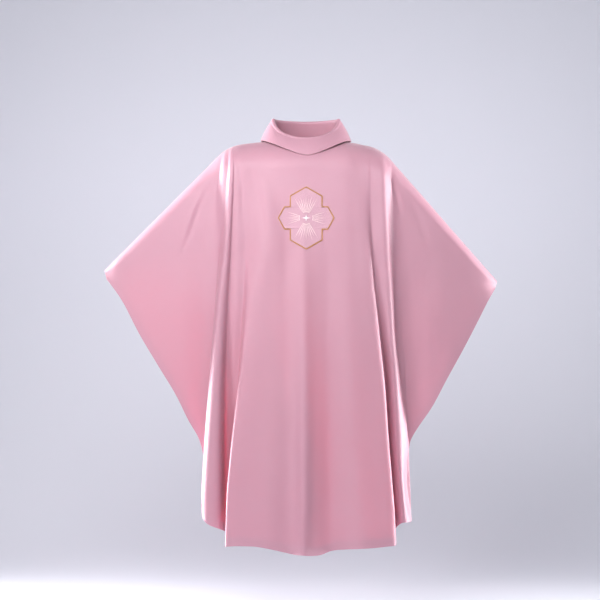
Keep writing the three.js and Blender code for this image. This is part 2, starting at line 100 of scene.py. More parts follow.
FRONT_FOLDS = (
    Fold("right cuff", (-613, -393), 16, ((-609, -16, -408), (-605, -24, -421),)),
    Fold("right sleeve 1", (-567, -347), 34, ((-565, -40, -434), (-559, -44, -482),)),
    Fold("right sleeve 2", (-506, -286), 46, ((-507, -52, -425), (-505, -52, -584),)),
    Fold("right sleeve 3", (-445, -225), 52, ((-452, -58, -334), (-444, -60, -684),)),
    Fold("right sleeve 4", (-384, -164), 56, (
        (-397, -62, -289), (-397, -66, -515), (-389, -66, -774),
    )),
    Fold("right sleeve 5", (-329, -109), 60, (
        (-349, -66, -260), (-358, -70, -515), (-353, -68, -848),
    )),
    Fold("right sleeve 6", (-284, -64), 64, (
        (-301, -70, -230), (-316, -70, -515), (-319, -62, -909),
    )),
    Fold("right under pleat", (-256, -37), 66, (
        (-270, -78, -185), (-285, -74, -485), (-298, -68, -785), (-304, -60, -985),
    )),
    Fold("right pleat back", (-241, -27), 74, (
        (-248, -96, -157), (-258, -88, -335), (-268, -82, -485), (-287, -72, -785),
        (-295, -66, -936), (-298, -60, -1060),
    )),
    Fold("right pleat rim", (-233, -23), 80, (
        (-232, -100, -82), (-237, -104, -157), (-251, -102, -336), (-269, -102, -485),
        (-278, -102, -574), (-296, -102, -783), (-307, -103, -932), (-315, -104, -1066),
        (-313, -104, -1117),
    )),
    Fold("right pleat face", (-229, -21), 84, (
        (-225, -110, -83), (-227, -117, -158), (-238, -124, -337), (-254, -127, -485),
        (-261, -129, -574), (-276, -133, -781), (-286, -137, -929), (-293, -140, -1076),
        (-293, -140, -1150),
    )),
    Fold("right pleat inner", (-223, -18), 86, (
        (-219, -112, -83), (-221, -117, -158), (-230, -121, -337), (-240, -121, -485),
        (-245, -123, -574), (-253, -128, -781), (-254, -133, -929), (-252, -136, -1077),
        (-249, -136, -1164),
    )),
    Fold("right valley", (-217, -16), 86, (
        (-214, -109, -83), (-216, -110, -158), (-223, -108, -336), (-231, -102, -485),
        (-235, -96, -575), (-240, -80, -785), (-241, -69, -935), (-239, -63, -1086),
        (-238, -62, -1183),
    )),
    Fold("right small pleat", (-207, -13), 88, (
        (-204, -111, -83), (-204, -115, -158), (-205, -119, -337), (-208, -118, -485),
        (-212, -112, -574), (-219, -90, -784), (-222, -76, -935), (-224, -70, -1086),
        (-226, -69, -1191),
    )),
    Fold("right small valley", (-195, -11), 90, (
        (-191, -112, -83), (-189, -114, -158), (-188, -116, -336), (-190, -113, -485),
        (-194, -108, -574), (-202, -96, -783), (-207, -88, -934), (-213, -84, -1084),
        (-217, -84, -1200),
    )),
    Fold("right front edge", (-180, -9), 95, (
        (-173, -114, -84), (-171, -115, -158), (-170, -118, -247), (-169, -122, -337),
        (-176, -136, -485), (-188, -145, -609), (-208, -158, -779), (-225, -168, -931),
        (-239, -176, -1100), (-241, -180, -1208),
    )),
    Fold("right front turn", (-162, -7), 98, (
        (-152, -114, -84), (-143, -121, -159), (-138, -131, -248), (-139, -139, -337),
        (-151, -147, -485), (-164, -154, -618), (-180, -164, -779), (-194, -172.5, -931),
        (-206, -180, -1100), (-207, -184, -1205),
    )),
    Fold("chest right 90", -90, 100, (
        (-119, -117, -105), (-119, -126, -159), (-111, -139, -249), (-114, -145, -337),
        (-119, -150, -485), (-136, -166, -779), (-144, -175, -931), (-156, -190, -1205),
    )),
    Fold("chest right 64", -64, 100, (
        (-87, -119.5, -105), (-87, -124, -159), (-80, -133, -248), (-80, -141, -337),
        (-86, -149, -485), (-95, -167, -779), (-97, -177, -930), (-103, -194, -1213),
    )),
    Fold("chest right 40", -40, 100, (
        (-57, -119.5, -105), (-57, -124, -159), (-57, -136, -337), (-57, -146, -485),
        (-55, -163, -779), (-56, -172, -931), (-59, -188, -1224),
    )),
    Fold("chest right 27", -27, 100, (
        (-33, -119.5, -105), (-33, -124.5, -159), (-32, -138, -337), (-32, -151, -485),
        (-30, -170, -778), (-30, -180, -930), (-33, -196, -1229),
    )),
    Fold("chest right 14", -14, 100, (
        (-12, -119.5, -105), (-11, -125, -159), (-9, -142, -337), (-8, -159, -485),
        (-7, -191, -777), (-7, -204, -928), (-10, -219, -1227),
    )),
    Fold("chest right 4", -4, 100, (
        (5, -119.5, -105), (8, -124.5, -159), (11, -138, -337), (13, -151, -485), (14, -176, -778),
        (14, -187, -929), (11, -203, -1231),
    )),
    Fold("chest left 8", 8, 100, (
        (23, -119.5, -105), (26, -124, -159), (32, -136, -337), (36, -145, -485), (41, -162, -779),
        (42, -171, -931), (42, -188, -1232),
    )),
    Fold("chest left 30", 30, 100, (
        (47, -119.5, -105), (50, -124, -159), (59, -134, -337), (64, -141, -485), (70, -151, -780),
        (72, -156, -933), (74, -172, -1220),
    )),
    Fold("chest left 52", 52, 100, (
        (83, -119.5, -105), (83, -124, -159), (94, -145, -485), (102, -155, -779),
        (105, -161, -932), (116, -177, -1216),
    )),
    Fold("chest left 74", 74, 100, (
        (112, -119.5, -105), (112, -124, -159), (118, -137, -337), (123, -148, -485),
        (137, -164, -779), (146, -173, -931), (166, -190, -1212),
    )),
    Fold("chest left 90", 90, 100, (
        (139, -117, -105), (139, -121.5, -159), (150, -133, -337), (162, -143, -485),
        (188, -159, -779), (199, -168, -931), (219, -184, -1209),
    )),
    Fold("left front turn", (171, -13), 98, (
        (163, -113, -84), (166, -121, -200), (174, -130, -325), (186, -138, -450),
        (200, -146, -594), (216, -153, -721), (234, -168, -958), (241, -174, -1071),
        (248, -180, -1206),
    )),
    Fold("left front edge", (189, -16), 95, (
        (182, -112, -83), (180, -117, -200), (187, -126, -325), (199, -134, -449),
        (216, -142, -594), (232, -150, -721), (250, -165, -958), (259, -171, -1072),
        (266, -176, -1206),
    )),
    Fold("left valley", (203, -20), 90, (
        (196, -110, -83), (196, -112, -199), (200, -112, -324), (208, -106, -449),
        (220, -96, -595), (235, -86, -724), (249, -82, -967), (259, -80, -1084), (265, -78, -1171),
    )),
    Fold("left small valley", (217, -26), 88, (
        (210, -111, -83), (212, -114, -200), (216, -116, -325), (223, -112, -449),
        (232, -106, -595), (243, -100, -724), (255, -98, -965), (264, -98, -1082),
        (271, -98, -1161),
    )),
    Fold("left pleat inner", (227, -32), 86, (
        (220, -112, -83), (222, -115, -200), (226, -117, -325), (234, -117, -449),
        (241, -115, -595), (249, -112, -696), (258, -111, -815), (265, -110, -925),
        (272, -109, -1021), (281, -108, -1148),
    )),
    Fold("left pleat face", (235, -37), 84, (
        (227, -113, -84), (231, -117, -200), (237, -121, -325), (244, -123, -449),
        (253, -124, -595), (262, -122, -696), (269, -120, -815), (276, -118, -925),
        (284, -117, -1020), (293, -116, -1146),
    )),
    Fold("left pleat rim", (241, -42), 80, (
        (233, -110, -83), (239, -110, -199), (248, -110, -336), (255, -110, -449),
        (266, -110, -604), (275, -108, -696), (286, -104, -816), (293, -98, -927),
        (293, -94, -1023), (297, -94, -1082), (307, -94, -1148),
    )),
    Fold("left pleat back", (250, -50), 74, (
        (246, -96, -112), (249, -94, -198), (254, -88, -335), (262, -82, -485), (269, -80, -605),
        (280, -80, -698), (295, -78, -818), (307, -72, -908), (305, -68, -966), (301, -66, -1035),
        (305, -70, -1086), (315, -76, -1149),
    )),
    Fold("left under pleat", (262, -63), 66, (
        (263, -78, -140), (279, -74, -335), (286, -72, -485), (294, -70, -635), (302, -64, -786),
        (310, -56, -895), (310, -54, -925),
    )),
    Fold("left sleeve 6", (290, -95), 62, (
        (297, -74, -170), (315, -72, -365), (327, -70, -575), (334, -60, -873),
    )),
    Fold("left sleeve 5", (329, -139), 58, (
        (336, -70, -215), (357, -70, -395), (372, -70, -575), (377, -64, -810),
    )),
    Fold("left sleeve 4", (378, -195), 54, ((390, -66, -290), (408, -68, -455), (425, -66, -719),)),
    Fold("left sleeve 3", (433, -258), 50, ((442, -60, -350), (477, -60, -626),)),
    Fold("left sleeve 2", (491, -324), 44, ((494, -54, -401), (523, -52, -539),)),
    Fold("left sleeve 1", (543, -383), 32, ((541, -40, -428), (553, -42, -482),)),
    Fold("left cuff", (581, -426), 16, ((577, -16, -439), (573, -24, -452),)),
)

BACK_LIFT = 3
BODY_BACK_FOLDS = (
    Fold("right back dip", (-250, -33), 68, (
        (-256, 84, -150), (-272, 64, -485), (-290, 52, -930), (-298, 54, -1076),
    )),
    Fold("right back rim", (-237, -25), 80, (
        (-240, 106, -150), (-256, 108, -485), (-284, 118, -930), (-296, 122, -1132),
    )),
    Fold("right back turn", (-222, -18), 86, (
        (-226, 114, -150), (-236, 128, -485), (-262, 148, -930), (-270, 158, -1160),
    )),
    Fold("right back valley", (-198, -11), 92, (
        (-202, 114, -150), (-206, 104, -485), (-222, 94, -930), (-228, 96, -1176),
    )),
    Fold("right back fold", (-168, -7), 98, (
        (-170, 121, -150), (-170, 142, -485), (-184, 172, -930), (-190, 186, -1204),
    )),
    Fold("back -90", -90, 100, (
        (-124, 124, -159), (-128, 146, -485), (-140, 172, -930), (-148, 186, -1212),
    )),
    Fold("back -60", -60, 100, (
        (-98, 125, -159), (-96, 134, -485), (-102, 144, -930), (-106, 150, -1216),
    )),
    Fold("back -36", -36, 100, (
        (-64, 126, -159), (-62, 138, -485), (-66, 154, -930), (-70, 162, -1224),
    )),
    Fold("back -10", -10, 100, (
        (-20, 126, -159), (-22, 148, -485), (-24, 178, -930), (-26, 194, -1226),
    )),
    Fold("back 14", 14, 100, (
        (26, 126, -159), (26, 147, -485), (30, 174, -930), (34, 190, -1226),
    )),
    Fold("back 38", 38, 100, (
        (68, 126, -159), (70, 135, -485), (76, 146, -930), (80, 152, -1222),
    )),
    Fold("back 64", 64, 100, (
        (102, 125, -159), (104, 138, -485), (114, 156, -930), (122, 168, -1218),
    )),
    Fold("back 90", 90, 100, (
        (126, 124, -159), (134, 147, -485), (150, 176, -930), (162, 188, -1212),
    )),
    Fold("left back fold", (168, -11), 98, (
        (169, 121, -150), (176, 142, -485), (192, 170, -930), (202, 182, -1204),
    )),
    Fold("left back valley", (196, -18), 92, (
        (200, 114, -150), (208, 104, -485), (230, 96, -930), (238, 98, -1176),
    )),
    Fold("left back turn", (217, -27), 86, (
        (222, 114, -150), (236, 128, -485), (262, 146, -930), (272, 154, -1160),
    )),
    Fold("left back rim", (234, -37), 80, (
        (238, 106, -150), (252, 108, -485), (282, 116, -930), (297, 118, -1132),
    )),
    Fold("left back dip", (248, -48), 68, (
        (254, 84, -150), (268, 62, -485), (292, 52, -930), (304, 54, -1060),
    )),
)


def back_folds(front: Sequence[Fold]) -> tuple:
    """The back panel's lines: its sleeves hang like the front's, and its body in broader folds.

    Args:
        front: The front panel's lines, from the right cuff to the left.

    Returns:
        The back panel's lines in the same order.
    """
    sleeves = [fold.behind(BACK_LIFT) for fold in front if "sleeve" in fold.name or "cuff" in fold.name]
    half = len(sleeves) // 2
    return (*sleeves[:half], *BODY_BACK_FOLDS, *sleeves[half:])


@dataclass(frozen=True)
class Crease:
    """A soft crease pressed into a panel, or a swell raised from it.

    Args:
        path: Points (x, z) that it follows.
        rise: Its height at the middle of the path, negative for a crease.
        width: Half its width.
    """

    path: tuple
    rise: float
    width: float

    def lift(self, x: np.ndarray, z: np.ndarray) -> np.ndarray:
        """How far the crease raises the cloth.

        Args:
            x: Places across.
            z: Heights of the same places.

        Returns:
            The rise at each place.
        """
        path = np.array(self.path, float)
        steps = np.hypot(*np.diff(path, axis=0).T)
        total, gone = steps.sum(), 0.0
        nearest = np.full(x.shape, np.inf)
        share = np.zeros(x.shape)
        for (ax, az), (bx, bz), step in zip(path[:-1], path[1:], steps):
            t = np.clip(((x - ax) * (bx - ax) + (z - az) * (bz - az)) / step**2, 0, 1)
            away = np.hypot(x - ax - t * (bx - ax), z - az - t * (bz - az))
            closer = away < nearest
            nearest = np.where(closer, away, nearest)
            share = np.where(closer, (gone + t * step) / total, share)
            gone += step
        taper = np.sin(np.pi * np.clip(share, 0.02, 0.98)) ** 0.7
        return self.rise * taper * np.exp(-((nearest / self.width) ** 2))


FRONT_CREASES = (
    Crease(((-292, -140), (-322, -200), (-352, -292), (-376, -350)), -3.2, 7),
    Crease(((-305, -150), (-338, -215), (-366, -300)), 2.6, 9),
    Crease(((-180, -66), (-150, -150), (-132, -218), (-114, -340)), -3.0, 14),
    Crease(((-203, -60), (-192, -150), (-190, -260)), -2.2, 6),
    Crease(((-252, -48), (-262, -110), (-272, -180)), -2.6, 5),
    Crease(((236, -60), (254, -110), (272, -180), (284, -240)), -3.0, 6),
    Crease(((262, -84), (282, -160), (296, -230)), 2.0, 8),
    Crease(((300, -150), (338, -240), (372, -330)), -1.8, 12),
)
BACK_CREASES = (
    Crease(((-292, -140), (-322, -200), (-356, -300)), -2.8, 9),
    Crease(((280, -130), (320, -220), (356, -320)), -2.8, 9),
    Crease(((-150, -60), (-118, -170), (-108, -320)), -2.6, 14),
    Crease(((140, -60), (122, -160), (116, -300)), -2.2, 14),
)


def monotone(knots: np.ndarray, values: np.ndarray, at: np.ndarray) -> np.ndarray:
    """A smooth curve through values that never swings past them.

    Args:
        knots: Rising places, n of them.
        values: n x k values at the knots.
        at: m places to evaluate.

    Returns:
        m x k values.
    """
    step = np.diff(knots)
    slope = np.diff(values, axis=0) / step[:, None]
    tangent = np.zeros_like(values)
    tangent[0], tangent[-1] = slope[0], slope[-1]
    before, after = slope[:-1], slope[1:]
    heavy, light = (2 * step[1:] + step[:-1])[:, None], (step[1:] + 2 * step[:-1])[:, None]
    same = before * after > 0
    safe = np.where(same, before * after, 1.0)
    tangent[1:-1] = np.where(same, (heavy + light) * safe / (heavy * after + light * before + ~same), 0)
    i = np.clip(np.searchsorted(knots, at, side="right") - 1, 0, len(step) - 1)
    t = ((at - knots[i]) / step[i])[:, None]
    h = step[i][:, None]
    return (
        (1 + 2 * t) * (1 - t) ** 2 * values[i]
        + t * (1 - t) ** 2 * h * tangent[i]
        + t**2 * (3 - 2 * t) * values[i + 1]
        + t**2 * (t - 1) * h * tangent[i + 1]
    )


def smoothed(grid: Grid, rounds: int, axis: int) -> Grid:
    """The grid with each inner line eased towards its neighbours.

    Args:
        grid: Points.
        rounds: How many times.
        axis: 0 across the panel, 1 down it.

    Returns:
        The eased grid, its edges as they were.
    """
    grid = grid.copy()
    inner = [slice(None)] * 3
    ahead, behind = list(inner), list(inner)
    inner[axis], ahead[axis], behind[axis] = slice(1, -1), slice(2, None), slice(None, -2)
    for _ in range(rounds):
        mean = (grid[tuple(ahead)] + grid[tuple(behind)]) / 2
        grid[tuple(inner)] += 0.5 * (mean - grid[tuple(inner)])
    return grid


def normals(grid: Grid, ring: bool = False) -> Grid:
    """The way out of a grid whose columns run to the right and rows run down.

    Args:
        grid: Points.
        ring: True if its last column meets its first.

    Returns:
        A unit vector for each point.
    """
    if ring:
        across = np.roll(grid, -1, axis=0) - np.roll(grid, 1, axis=0)
    else:
        across = np.gradient(grid, axis=0)
    down = np.gradient(grid, axis=1)
    out = np.cross(down, across)
    return out / np.maximum(np.linalg.norm(out, axis=2, keepdims=True), 1e-9)


# ---------------------------------------------------------------- meshes


def sheet_faces(columns: int, rows: int, ring: bool) -> np.ndarray:
    """Quads of a closed sheet: an outer grid, then an inner one, and the rim between them.

    Args:
        columns: Columns in each grid.
        rows: Rows in each grid.
        ring: True if the last column joins the first.

    Returns:
        n x 4 point numbers.
    """
    i, j = np.meshgrid(np.arange(columns if ring else columns - 1), np.arange(rows - 1), indexing="ij")
    i, j = i.ravel(), j.ravel()

    def at(layer: int, a: np.ndarray, b: np.ndarray) -> np.ndarray:
        """The number of a point."""
        return (layer * columns + a % columns) * rows + b

    quads = [
        np.stack([at(0, i, j), at(0, i, j + 1), at(0, i + 1, j + 1), at(0, i + 1, j)], 1),
        np.stack([at(1, i + 1, j), at(1, i + 1, j + 1), at(1, i, j + 1), at(1, i, j)], 1),
    ]
    k = np.arange(columns if ring else columns - 1)
    top, foot = np.zeros_like(k), np.full_like(k, rows - 1)
    quads.append(np.stack([at(0, k + 1, top), at(1, k + 1, top), at(1, k, top), at(0, k, top)], 1))
    quads.append(np.stack([at(0, k, foot), at(1, k, foot), at(1, k + 1, foot), at(0, k + 1, foot)], 1))
    if not ring:
        k = np.arange(rows - 1)
        first, last = np.zeros_like(k), np.full_like(k, columns - 1)
        near, far = ((0, k), (1, k), (1, k + 1), (0, k + 1)), ((0, k + 1), (1, k + 1), (1, k), (0, k))
        quads.append(np.stack([at(layer, first, row) for layer, row in near], 1))
        quads.append(np.stack([at(layer, last, row) for layer, row in far], 1))
    return np.concatenate(quads)


def lengths_along(grid: Grid, axis: int) -> np.ndarray:
    """Distance from the first line of a grid to each point, measured along the grid.

    Args:
        grid: Points.
        axis: 0 to measure across, 1 to measure down.

    Returns:
        One length for each point.
    """
    steps = np.linalg.norm(np.diff(grid, axis=axis), axis=2)
    return np.concatenate([np.zeros_like(steps.take([0], axis)), np.cumsum(steps, axis)], axis)


def make_mesh(
    name: str, points: np.ndarray, faces: Iterable, uv: Optional[np.ndarray] = None
) -> bpy.types.Object:
    """A smooth-shaded piece at the origin.

    Args:
        name: The piece's name.
        points: n x 3 places in millimetres.
        faces: Point numbers of each face.
        uv: n x 2 lengths in millimetres, for a weave that follows the cloth.

    Returns:
        The new object, linked to the scene.
    """
    mesh = bpy.data.meshes.new(name)
    corners = faces.tolist() if isinstance(faces, np.ndarray) else list(faces)
    mesh.from_pydata((np.asarray(points) * MM).tolist(), [], corners)
    mesh.shade_smooth()
    if uv is not None:
        layer = mesh.uv_layers.new(name="UVMap")
        corner = np.empty(len(mesh.loops), int)
        mesh.loops.foreach_get("vertex_index", corner)
        layer.data.foreach_set("uv", (uv[corner] * MM).ravel())
    mesh.validate()
    mesh.update()
    piece = bpy.data.objects.new(name, mesh)
    bpy.context.scene.collection.objects.link(piece)
    return piece


def make_sheet(name: str, outer: Grid, inner: Grid, ring: bool = False) -> bpy.types.Object:
    """A closed sheet between two like grids, with sharp cut edges and a UV map of lengths.

    Args:
        name: The piece's name.
        outer: The face that shows, columns to the right and rows down.
        inner: The other face.
        ring: True if the last column joins the first.

    Returns:
        The new object.
    """
    columns, rows = outer.shape[:2]
    faces = sheet_faces(columns, rows, ring)
    u = np.broadcast_to(lengths_along(outer, 0).mean(axis=1, keepdims=True), (columns, rows))
    v = lengths_along(outer, 1)
    flat = np.stack([u, v], 2).reshape(-1, 2)
    points = np.concatenate([outer.reshape(-1, 3), inner.reshape(-1, 3)])
    piece = make_mesh(name, points, faces, np.concatenate([flat, flat]))
    mesh = piece.data
    edges = np.empty(len(mesh.edges) * 2, int)
    mesh.edges.foreach_get("vertices", edges)
    a, b = edges.reshape(-1, 2).T % (columns * rows)
    row_a, row_b, col_a, col_b = a % rows, b % rows, a // rows, b // rows
    rim = ((row_a == row_b) & ((row_a == 0) | (row_a == rows - 1))) | (a == b)
    if not ring:
        rim |= (col_a == col_b) & ((col_a == 0) | (col_a == columns - 1))
    sharp = mesh.attributes.get("sharp_edge")
    if sharp is None:
        sharp = mesh.attributes.new("sharp_edge", "BOOLEAN", "EDGE")
    sharp.data.foreach_set("value", rim)
    return piece


# ---------------------------------------------------------------- neckline


@dataclass(frozen=True)
class Neck:
    """The oval cut out of the cloth where it rolls over the shoulders."""

    half_width: float = 118
    half_depth: float = 95
    side: float = -2
    back_rise: float = 42
    body_depth: float = 125
    body_roll: float = 100

    def on_oval(self, turn: np.ndarray, radius: np.ndarray, z: np.ndarray) -> np.ndarray:
        """Points round the neck.

        Args:
            turn: 0 at the front and a quarter turn at the wearer's left.
            radius: Half width of the oval.
            z: Height.

        Returns:
            Points, in a last axis of three.
        """
        depth = radius - (self.half_width - self.half_depth)
        return np.stack(np.broadcast_arrays(radius * np.sin(turn), -depth * np.cos(turn), z), -1)

    def ridge(self, turn: np.ndarray) -> np.ndarray:
        """The height of the shoulders' ridge behind or before the neckline at a turn."""
        return self.side + self.back_rise * np.minimum(np.cos(turn), 0) ** 4

    def height(self, turn: np.ndarray) -> np.ndarray:
        """The height of the neckline at a turn."""
        out = self.half_depth * np.cos(turn) / self.body_depth
        return self.ridge(turn) - self.body_roll * (1 - np.sqrt(1 - out**2))


NECK = Neck()


# ---------------------------------------------------------------- panels


@dataclass
class Panel:
    """The front or the back of the garment, a sheet draped over the shoulders and both arms."""

    side: Side
    folds: tuple
    creases: tuple
    thickness: float = 0.8
    seam_gap: float = 0.4
    seam_dip: float = 0.7
    roll_share: float = 0.25
    columns: int = 262
    roll_rows: int = 34
    fall_rows: int = 112
    hem_rows: tuple = (26.0, 17.0, 8.0, 0.0)
    widest_hem: float = 0.4
    steepest_roll: float = 0.6
    fine_rows: int = 620
    even_from: int = 200
    eased_across: int = 4
    eased_down: int = 30
    ripple: float = 0.9
    waves: tuple = (310.0, 210.0, 140.0, 95.0, 62.0)
    seam_reach: float = 3.5
    flat: tuple = (1.62, 1.30)
    cut_area: float = 1.45
    grid: Grid = field(init=False, default=None)
    down: np.ndarray = field(init=False, default=None)
    cloth: bpy.types.Object = field(init=False, default=None)

    @property
    def name(self) -> str:
        """`front` or `back`."""
        return self.side.name.lower()

    def fold_points(self, fold: Fold, down: np.ndarray) -> np.ndarray:
        """Points down one fold.

        Args:
            fold: The line to follow.
            down: 0 at the top, `roll_share` where the cloth starts to hang, 1 at the hem.

        Returns:
            One point for each share.
        """
        points = np.array(fold.points, float)
        depth = np.abs(points[:, 1])
        if isinstance(fold.top, tuple):
            (x, z), y = fold.top, 0.0
        else:
            turn = math.radians(fold.top)
            turn = turn if self.side is Side.FRONT else math.pi - turn
            x, y, z = NECK.on_oval(turn, NECK.half_width, NECK.height(turn))
        foot = points[-1, 2]
        roll = min(fold.roll, self.steepest_roll * (z - foot))
        start = math.asin(min(abs(y) / depth[0], 1))
        ridge = z + roll * (1 - math.cos(start))
        angle = start + (math.pi / 2 - start) * np.minimum(down / self.roll_share, 1)
        hung = np.clip((down - self.roll_share) / (1 - self.roll_share), 0, 1)
        height = ridge - roll * (1 - np.cos(angle)) - hung * (ridge - roll - foot)
        knots = -np.concatenate([[z], points[:, 2]])
        across = monotone(knots, np.concatenate([[x], points[:, 0]])[:, None], -height)[:, 0]
        out = monotone(knots, np.concatenate([depth[:1], depth])[:, None], -height)[:, 0]
        return np.stack([across, self.side.value * (self.seam_gap / 2 + out * np.sin(angle)), height], 1)

    def lay(self) -> None:
        """Work out the grid of the outer face, and `down` for each of its points."""
        fine = np.linspace(0, 1, self.fine_rows)
        lines = np.stack([self.fold_points(fold, fine) for fold in self.folds])
        steps = np.linalg.norm(np.diff(lines, axis=0), axis=2)[:, self.even_from:].mean(axis=1)
        knots = np.concatenate([[0], np.cumsum(steps)])
        at = np.linspace(0, knots[-1], self.columns)
        flat = lines.reshape(len(lines), -1)
        grid = monotone(knots, flat, at).reshape(self.columns, len(fine), 3)
        if self.side is Side.BACK:
            grid = grid[::-1]
        grid = smoothed(smoothed(grid, self.eased_across, 0), self.eased_down, 1)
        self.grid, self.down = self.rows_laid(self.shaped(grid, fine), fine)

    def shaped(self, grid: Grid, down: np.ndarray) -> Grid:
        """The grid with its creases, a slight ripple and the dip of the shoulder seam.

        Args:
            grid: Points of the smooth drape.
            down: The share of each row.

        Returns:
            The grid as the cloth lies.
        """
        x, z = grid[..., 0], grid[..., 2]
        lift = sum(crease.lift(x, z) for crease in self.creases)
        draw = np.random.default_rng(SEED + self.side.value)
        fade = np.minimum(down / self.roll_share, 1)[None, :]
        for wave in self.waves:
            turn, phase = draw.uniform(0, math.pi), draw.uniform(0, 2 * math.pi)
            bend = 0.35 * wave * np.sin(z / (1.7 * wave) + draw.uniform(0, 6))
            along = (x + bend) * math.cos(turn) + 0.3 * z * math.sin(turn)
            height = self.ripple * (wave / 310) ** 0.8
            lift = lift + height * np.sin(2 * math.pi * along / wave + phase) * fade
        sewn = np.abs(x) > NECK.half_width
        from_seam = lengths_along(grid, 1)
        lift = lift - self.seam_dip * np.exp(-((from_seam / self.seam_reach) ** 2)) * sewn[:, :1]
        lift[:, 0] = 0
        return grid + normals(grid) * lift[..., None]

    def rows_laid(self, grid: Grid, fine: np.ndarray) -> tuple:
        """Rows set out on a fine grid: even in the roll and the fall, then at set widths in the hem.

        Args:
            grid: Points on many rows.
            fine: The share of each of its rows.

        Returns:
            The grid on the panel's own rows, and the share of each of its points.
        """
        length = lengths_along(grid, 1)
        rolled = np.linspace(0, self.roll_share, self.roll_rows)
        laid, shares = [], []
        for column, along in zip(grid, length):
            hanging = along[-1] - np.interp(self.roll_share, fine, along)
            hem = min(self.hem_rows[0], self.widest_hem * hanging)
            marks = along[-1] - hem * np.array(self.hem_rows) / self.hem_rows[0]
            bands = np.interp(marks, along, fine)
            fall = np.linspace(self.roll_share, bands[0], self.fall_rows)[1:-1]
            down = np.concatenate([rolled, fall, bands])
            laid.append(np.stack([np.interp(down, fine, column[:, k]) for k in range(3)], 1))
            shares.append(down)
        return np.array(laid), np.array(shares)

    def face(self, lift: float, columns: slice = slice(None), rows: slice = slice(None)) -> Grid:
        """Part of the panel's grid moved out of the cloth by `lift`, or into it where negative."""
        return (self.grid + lift * normals(self.grid))[columns, rows]

    def build(self) -> bpy.types.Object:
        """Lay the panel and make its cloth.

        Returns:
            The panel's object.
        """
        self.lay()
        self.cloth = make_sheet(f"{self.name}_panel_cloth", self.grid, self.face(-self.thickness))
        return self.cloth

    def share_of_hem(self) -> np.ndarray:
        """How far each column's foot is from the middle, as a signed share of its side's edge."""
        foot = self.grid[:, -1]
        along = lengths_along(foot[:, None], 0)[:, 0]
        middle = np.interp(0, foot[:, 0] * -self.side.value, along)
        away = along - middle
        return np.where(away < 0, away / middle, away / (along[-1] - middle)) * -self.side.value


# ---------------------------------------------------------------- layers sewn inside


@dataclass
class InsideLayers:
    """Hem bands, neck facings and the bound shoulder seams, all sewn to the inside of the panels."""

    panels: dict
    gap: float = 0.3
    trim: float = 0.6
    hem_joins: float = 0.55
    facing_to: float = 231
    facing_share: float = 50 / 90 * 0.25
    binding_share: float = 15 / 90 * 0.25
    binding_columns: int = 90
    binding_start: float = 1.5
    binding_end: float = 0.5

    def lifts(self, panel: Panel) -> tuple:
        """The lifts of a layer's upper and lower faces under a panel."""
        high = -panel.thickness - self.gap
        return high, high - self.trim

    def patch(self, name: str, panel: Panel, columns: slice, rows: slice) -> bpy.types.Object:
        """A sheet that follows part of a panel from the inside.

        Args:
            name: The piece's name.
            panel: The panel it is sewn to.
            columns: The columns that it covers.
            rows: The rows that it covers.

        Returns:
            The new object.
        """
        high, low = (panel.face(lift, columns, rows) for lift in self.lifts(panel))
        return make_sheet(name, high, low)

    def hems(self, panel: Panel) -> dict:
        """The three hem bands of a panel.

        Args:
            panel: The panel to hem.

        Returns:
            Each CAD node's name with its piece.
        """
        share = panel.share_of_hem()
        rows = slice(-len(panel.hem_rows), None)
        places = {
            "right_wing": np.flatnonzero(share < -self.hem_joins),
            "bottom": np.flatnonzero(np.abs(share) <= self.hem_joins),
            "left_wing": np.flatnonzero(share > self.hem_joins),
        }
        made = {}
        for place, columns in places.items():
            node = f"{panel.name}_{place}_hem"
            span = slice(columns.min(), columns.max() + 1)
            made[node] = self.patch(f"{node}_band", panel, span, rows)
        return made

    def facing(self, panel: Panel) -> tuple:
        """The shaped facing that runs round the neckline and a little way along the shoulders."""
        inside = np.flatnonzero(np.abs(panel.grid[:, 0, 0]) <= self.facing_to)
        rows = slice(0, int(self.facing_share / panel.roll_share * (panel.roll_rows - 1)) + 1)
        node = f"{panel.name}_neck_facing"
        return node, self.patch(f"{node}_cloth", panel, slice(inside.min(), inside.max() + 1), rows)

    def beside_seam(self, panel: Panel, at: np.ndarray, sign: int, lift: float) -> Grid:
        """Places under one panel, from its shoulder seam a little way down.

        Args:
            panel: The panel.
            at: How far out from the middle each column lies.
            sign: -1 for the wearer's right and 1 for the left.
            lift: How far out of the cloth.

        Returns:
            The places, with columns outwards and rows down.
        """
        rows = int(self.binding_share / panel.roll_share * (panel.roll_rows - 1)) + 1
        face = panel.face(lift, slice(None), slice(0, rows + 1))
        out = panel.grid[:, 0, 0] * sign
        order = np.argsort(out)
        lines = []
        for row in range(rows + 1):
            lines.append([np.interp(at, out[order], face[order, row, k]) for k in range(3)])
        return np.transpose(lines, (2, 0, 1))

    def shoulder_binding(self, sign: int) -> tuple:
        """The bound seam allowances under one shoulder seam.

        Args:
            sign: -1 for the wearer's right and 1 for the left.

        Returns:
            The CAD node's name and the piece.
        """
        place = "right" if sign < 0 else "left"
        cuff = (self.panels[Side.FRONT].grid[:, 0, 0] * sign).max()
        at = np.linspace(self.facing_to + self.binding_start, cuff - self.binding_end, self.binding_columns)
        faces = []
        for high in (0, 1):
            front, back = (
                self.beside_seam(panel, at, sign, self.lifts(panel)[high]) for panel in self.panels.values()
            )
            run = np.concatenate([back[:, ::-1], front], axis=1)
            faces.append(run if sign > 0 else run[::-1])
        node = f"{place}_shoulder_binding"
        return node, make_sheet(f"{node}_tape", faces[0], faces[1])

    def build(self) -> dict:
        """Make every inside layer.

        Returns:
            Each CAD node's name with its piece.
        """
        made = {}
        for panel in self.panels.values():
            made.update(self.hems(panel))
            made.update([self.facing(panel)])
        made.update([self.shoulder_binding(sign) for sign in (-1, 1)])
        return made


# ---------------------------------------------------------------- collar


